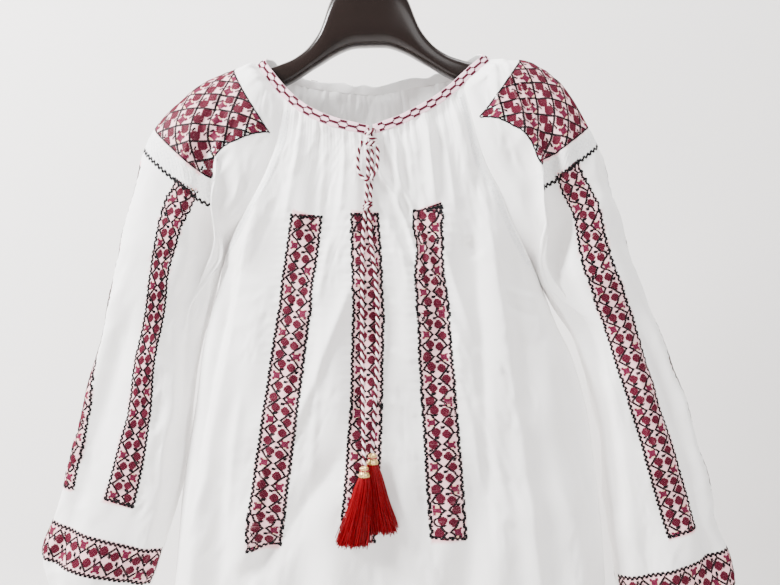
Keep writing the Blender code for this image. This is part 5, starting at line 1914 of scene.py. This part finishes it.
def join(name: str, items: list[Object], slot: str, *nodes: str) -> None:
    """Put several closed skins in one piece."""
    net = bmesh.new()
    for item in items:
        net.from_mesh(item.data)
    first = items[0]
    net.to_mesh(first.data)
    net.free()
    for item in items[1:]:
        mesh = item.data
        bpy.data.objects.remove(item, do_unlink=True)
        bpy.data.meshes.remove(mesh)
    first.name = name
    first.data.name = name
    dress(first, slot, *nodes)


def turned(profile: Array, centre: Array, sides: int, ribs: int = 0, rib: float = 0.0) -> tuple:
    """Skin of revolution about a vertical axis, with ribs on its widest parts.

    Args:
        profile: rows of radius and height, from top to bottom.
        centre: the axis' top.
        sides: points round it.
        ribs: how many ribs.
        rib: their height, in parts of the radius.

    Returns:
        Points and faces.
    """
    turns = round_turns(sides)
    swell = 1 + rib * np.abs(np.cos(ribs * turns / 2))
    radius = profile[:, :1] * swell[None, :]
    points = spread_out(radius * np.cos(turns), radius * np.sin(turns), profile[:, 1:])
    return points.reshape(-1, 3) + centre, tube_faces(len(profile), sides)


def sphere(centre: Array, radius: float, sides: int = 12, rings: int = 8) -> tuple:
    """Closed ball as points and faces; its poles are small rings."""
    turn = np.linspace(0.02, math.pi - 0.02, rings)
    profile = np.stack([radius * np.sin(turn), radius * np.cos(turn)], axis=-1)
    return turned(profile, centre, sides)


CAP_PROFILE = ((1.9, 0.3), (2.6, -0.4), (4.2, -1.6), (4.5, -2.8), (3.7, -4.2), (3.5, -5.4), (4.6, -6.6),
               (5.3, -8.2), (5.6, -10.0), (5.2, -11.6), (3.2, -12.0))


@dataclass
class Tassel:
    """Beaded cap and a bundle of fine strands that hang and fan out below it."""

    finishes: Finishes
    side: Side
    strands: int = 950
    length: float = 68.0
    thread_radius: tuple = (0.34, 0.50)
    stray_share: float = 0.03
    rings: int = 7
    seed: int = 5

    def build(self) -> None:
        """Build the cap, its beads and the strands."""
        x, y, z, end_x = TASSELS[self.side.value]
        top = np.array([x, y, z])
        self.cap(top)
        self.bundle(top, end_x)

    def cap(self, top: Array) -> None:
        """Ribbed gold bell with two crowns of gold beads and one of dark red ones."""
        gold = [turned(np.array(CAP_PROFILE), top, 48, 12, 0.07)]
        gold += self.crown(top, 9, 4.1, -2.6, 1.15, 0.3, 0.8)
        gold += self.crown(top, 10, 5.0, -9.8, 1.35, 0.3, 0.8)
        dress(self.gather("cap_beads_", gold, self.finishes.gold), "bead", "cap_" + self.side.value)
        reds = self.crown(top, 9, 4.0, -5.0, 1.25, 0.85, 1.0)
        dress(self.gather("cap_reds_", reds, self.finishes.red_bead), "bead")

    def crown(self, top: Array, count: int, radius: float, depth: float, size: float, shift: float,
              small: float) -> list:
        """Beads in a ring round the cap.

        Args:
            top: of the cap.
            count: how many beads.
            radius: of the ring.
            depth: height above the top.
            size: radius of a bead.
            shift: turns the ring, in beads.
            small: size of every other bead beside its neighbours.

        Returns:
            Points and faces of each bead.
        """
        beads = []
        for number in range(count):
            turn = math.tau * (number + shift) / count
            place = top + np.array([radius * math.cos(turn), radius * math.sin(turn), depth])
            beads.append(sphere(place, size * (1.0 if number % 2 else small), 10, 7))
        return beads

    def gather(self, name: str, skins: list, material: Material) -> Object:
        """One piece of several closed skins."""
        starts = np.cumsum([0] + [len(points) for points, _ in skins])
        faces = np.concatenate([skin + start for (_, skin), start in zip(skins, starts)])
        points = np.concatenate([points for points, _ in skins])
        item = add_mesh(name + self.side.value, points, faces, material)
        face_outwards(item, fill=True)
        return item

    def bundle(self, top: Array, end_x: float) -> None:
        """Strands from the cap's underside: three-sided threads that sag outwards, then hang."""
        draw = np.random.default_rng(self.seed + (self.side is Side.RIGHT))
        turn = draw.uniform(0, math.tau, self.strands)
        place = np.sqrt(draw.uniform(0, 1, self.strands))
        share = np.linspace(0.0, 1.0, self.rings)[:, None]
        length = self.length + draw.normal(0, 2.2, self.strands)
        stray = draw.random(self.strands) < self.stray_share
        open_x = place * np.cos(turn)
        open_y = place * np.sin(turn)
        spread = 5.4 + 2.2 * step_up(share / 0.18) + 8.2 * share ** 1.15
        wander_x = draw.normal(0, 1.0, self.strands) * (1 + 2.5 * stray)
        wander_y = draw.normal(0, 0.7, self.strands) * (1 + 2.0 * stray)
        phase = draw.uniform(0, math.tau, self.strands)
        x = top[0] + spread * open_x + (end_x - top[0]) * share ** 1.3 + wander_x * share * 1.4
        x = x + 0.5 * np.sin(3.5 * math.pi * share + phase) * share
        y = top[1] + spread * open_y * (1.0 - 0.42 * share) + wander_y * share
        z = top[2] - 11.6 - length * share + 0 * x
        middle = np.stack([x, y, z], axis=-1)
        size = draw.uniform(*self.thread_radius, self.strands)
        sides = round_turns(3)[None, None, :] + phase[None, :, None]
        size = size[None, :, None]
        skin = middle[:, :, None, :] + spread_out(size * np.cos(sides), size * np.sin(sides), 0 * sides)
        base = np.arange(self.strands)[:, None, None] * self.rings * 3
        faces = (tube_faces(self.rings, 3)[None] + base).reshape(-1, 4)
        item = add_mesh("tassel_strands_" + self.side.value, skin.transpose(1, 0, 2, 3), faces,
                        self.finishes.tassel)
        dress(item, "tassel", "tassel_" + self.side.value)


@dataclass
class Hanger:
    """Contoured plastic hanger and its metal hook."""

    finishes: Finishes
    squareness: float = 0.62
    sides: int = 40
    rail_radius: float = 18.0
    wire_radius: float = 2.3
    collar_radius: float = 5.0

    def build(self) -> None:
        """Dense skins over the same sections as the solids."""
        stations = np.array(HANGER_STATIONS)
        half = smooth_curve(stations[:, 0], stations, np.linspace(0.0, 1.0, 90) ** 0.9 * stations[-1, 0])
        opposite = half[:0:-1].copy()
        opposite[:, 0] *= -1
        table = np.vstack([opposite, half])
        turns = round_turns(self.sides)
        wide = signed_power(np.cos(turns), self.squareness)
        high = signed_power(np.sin(turns), self.squareness)
        middle = (table[:, 1] + table[:, 2]) / 2
        reach = (table[:, 1] - table[:, 2]) / 2
        points = spread_out(table[:, :1], table[:, 3:4] * wide, middle[:, None] + reach[:, None] * high)
        item = add_tube("hanger_body", self.tipped(points), self.finishes.plastic, shift=0.0)
        dress(item, "plastic", "hanger")
        self.hook(stations[0, 1] + 0.3)

    def tipped(self, points: Array) -> Array:
        """Points turned about the hook by the hanger's small tip."""
        x, y, z = np.moveaxis(points, -1, 0)
        cos = math.cos(HANGER_TIP)
        sin = math.sin(HANGER_TIP)
        return np.stack([cos * x - sin * z, y, sin * x + cos * z], axis=-1)

    def hook(self, top: float) -> None:
        """Wire bent round the rail, rising from a short collar."""
        bend = self.rail_radius + self.wire_radius
        stem = np.array([(0.0, 0.0), (0.0, 8.0), (0.0, 16.0), (-0.6, 24.0), (-3.4, 33.0)]) + (0.0, top)
        angles = np.radians(np.arange(232, -40, -16))
        arc = np.stack([bend * np.cos(angles), bend * np.sin(angles) - self.rail_radius], axis=-1)
        route = np.vstack([stem, arc])
        keys = lengths_along(route)
        line = smooth_curve(keys, route, np.linspace(0.0, keys[-1], 160))
        distance = lengths_along(line)
        along = unit(np.gradient(line, axis=0))
        side = np.stack([along[:, 1], -along[:, 0]], axis=-1)
        turns = round_turns(18)
        collar = 1 - step_up((distance - 10.0) / 3.0)
        thick = self.wire_radius + (self.collar_radius - self.wire_radius) * collar
        thick = thick * (0.55 + 0.45 * np.sqrt(np.clip((distance[-1] - distance) / 2.2, 0.0, 1.0)))
        reach = thick[:, None] * np.cos(turns)
        points = spread_out(line[:, :1] + reach * side[:, :1], thick[:, None] * np.sin(turns),
                            line[:, 1:] + reach * side[:, 1:])
        item = add_tube("hanger_wire", self.tipped(points), self.finishes.steel, shift=0.0)
        dress(item, "steel", "hanger_hook")


@dataclass
class RaglanLadder:
    """Openwork along the raglan seams: two rows of small white stitches with bars between."""

    offset: float = 3.0
    width: float = 7.0
    pitch: float = 3.1
    below_band: float = 10.0
    above_end: float = 4.0

    def sew(self, grid: ClothGrid, stitching: Stitching, last_row: int, column: int) -> None:
        """Lay the ladder beside one edge of a panel.

        Args:
            grid: the panel.
            stitching: takes the stitches.
            last_row: where the raglan seam ends.
            column: of the edge, 0 for the first and -1 for the last.
        """
        edge = grid.points[:last_row, column]
        along = lengths_along(edge)
        at = np.arange(self.below_band, along[-1] - self.above_end, self.pitch / 2)
        rows = np.interp(at, along, np.arange(last_row))
        whole = grid.row_at(grid.arcs[:, -1], rows)[:, None]
        steps = np.arange(6)[None, :] * self.width / 5 + self.offset
        arcs = whole - steps if column else steps + 0 * whole
        points, normals = grid.place(rows, arcs)
        chart = np.zeros((len(rows) - 1, 5), dtype=int)
        chart[::2, [0, 4]] = Thread.WHITE
        chart[1::2, [1, 3]] = Thread.WHITE
        stitching.add(points, normals, chart, seed=40)


@dataclass
class Studio:
    """Wall and floor in one soft sweep, window-like lights and the photograph's camera."""

    finishes: Finishes
    camera_place: tuple = (0.0261, -0.90, -0.4321)
    half_view: float = 0.435
    aim: tuple = (0.02, 0.0, -0.42)

    def build(self) -> None:
        """Add the sweep, the lights and the camera."""
        self.sweep()
        self.light("key", (-1.8, -0.8, 0.75), 0.8, 225.0)
        self.light("fill", (1.3, -1.9, 0.1), 1.6, 40.0)
        self.light("top", (0.3, -0.35, 1.2), 0.9, 40.0)
        world = bpy.data.worlds.new("studio")
        bpy.context.scene.world = world
        world.use_nodes = True
        shade = world.node_tree.nodes["Background"]
        shade.inputs[0].default_value = (0.97, 0.955, 0.95, 1.0)
        shade.inputs[1].default_value = 0.36
        data = bpy.data.cameras.new("camera")
        camera = bpy.data.objects.new("camera", data)
        bpy.context.scene.collection.objects.link(camera)
        camera.location = self.camera_place
        camera.rotation_euler = (math.radians(90.0), 0.0, 0.0)
        data.angle = 2 * math.atan(self.half_view / -self.camera_place[1])
        bpy.context.scene.camera = camera

    def sweep(self) -> None:
        """Wall behind the blouse that bends into the floor in front."""
        turn = np.linspace(0.0, math.pi / 2, 24)
        bend = 500.0
        wall_y, front_y = 420.0, -3200.0
        top_z, floor_z = 1900.0, -1350.0
        half_width = 3000.0
        y = np.concatenate([[wall_y], wall_y - bend + bend * np.cos(turn), [front_y]])[:, None]
        z = np.concatenate([[top_z], floor_z + bend - bend * np.sin(turn), [floor_z]])[:, None]
        x = np.linspace(-half_width, half_width, 13)[None, :]
        corner = np.arange(y.size * x.size).reshape(y.size, x.size)
        quads = np.stack([corner[:-1, :-1], corner[1:, :-1], corner[1:, 1:], corner[:-1, 1:]], axis=-1)
        item = add_mesh("studio_sweep", spread_out(x, y, z), quads.reshape(-1, 4), self.finishes.wall)

    def light(self, name: str, place: tuple, size: float, power: float) -> None:
        """Large soft light aimed at the blouse."""
        data = bpy.data.lights.new(name, "AREA")
        data.size = size
        data.energy = power
        lamp = bpy.data.objects.new(name, data)
        lamp.location = place
        aim = mathutils.Vector(self.aim) - mathutils.Vector(place)
        lamp.rotation_euler = aim.to_track_quat("-Z", "Y").to_euler()
        bpy.context.scene.collection.objects.link(lamp)


@dataclass
class Blouse:
    """The garment: front, back, sleeves, cuffs and neckband, with all their stitches."""

    finishes: Finishes
    trellis: RoseTrellis = field(default_factory=RoseTrellis)

    def build(self) -> None:
        neckline = Neckline()
        self.front(neckline)
        self.back(neckline)
        for side in Side:
            self.sleeve(neckline, side)
        self.neckband(neckline)

    def front(self, neckline: Neckline) -> None:
        """Front with its bands."""
        panel = BodyPanel(neckline, "front", columns=184, rows=200, gathers=24, folds=FRONT_FOLDS, seed=3)
        grid = panel.build()
        stitching = Stitching()
        tint = FrontEmbroidery(self.trellis).sew(grid, stitching)
        for column, seam in ((0, SIDE_LEFT), (-1, SIDE_RIGHT)):
            last = int(np.argmax(grid.points[:, column, 2] < seam[0][2]))
            RaglanLadder().sew(grid, stitching, last, column)
        item = cloth_object("front_cloth", grid, self.finishes.cotton, tint)
        dress(item, "cotton", "front")
        self.stitches("front_stitches", stitching)

    def back(self, neckline: Neckline) -> None:
        """Plain back."""
        panel = BodyPanel(neckline, "back", columns=130, rows=150, gathers=24, folds=BACK_FOLDS, seed=8)
        grid = panel.build()
        item = cloth_object("back_cloth", grid, self.finishes.cotton, np.zeros(grid.arcs.shape))
        dress(item, "cotton", "back")

    def sleeve(self, neckline: Neckline, side: Side) -> None:
        """One sleeve with its panel, bands and cuff."""
        surface = SleeveSurface(neckline, side)
        cloth = SleeveCloth(surface, SLEEVE_FOLDS, seed=20 + (side is Side.RIGHT))
        grid = cloth.build()
        stitching = Stitching()
        tint = SleeveEmbroidery(cloth, grid, stitching, self.trellis).sew()
        name = "sleeve_" + side.value
        item = cloth_object("cloth_" + name, grid, self.finishes.cotton, tint, joined=True)
        dress(item, "cotton", name, name + "_elbow", name + "_forearm")
        self.stitches("stitches_" + name, stitching)
        Cuff(surface).build(self.finishes)

    def neckband(self, neckline: Neckline) -> None:
        """Neckband with its chain of stitches."""
        band = Neckband(neckline)
        item = band.build(self.finishes)
        dress(item, "neckband", "neckband")
        stitching = Stitching(half_width=0.66, height=0.42)
        band.sew(stitching)
        self.stitches("neckband_stitches", stitching)

    def stitches(self, name: str, stitching: Stitching) -> None:
        """Stitches as one piece that moves with the body."""
        dress(stitching.mesh(name, self.finishes.thread), "cotton")


def main() -> None:
    """Build the whole scene in order."""
    logging.basicConfig(level=logging.INFO, format="%(name)s %(message)s")
    finishes = make_finishes()
    Studio(finishes).build()
    for side in Side:
        Tassel(finishes, side).build()
    Drawstring(finishes).build()
    Hanger(finishes).build()
    Blouse(finishes).build()


if __name__ == "__main__":
    main()
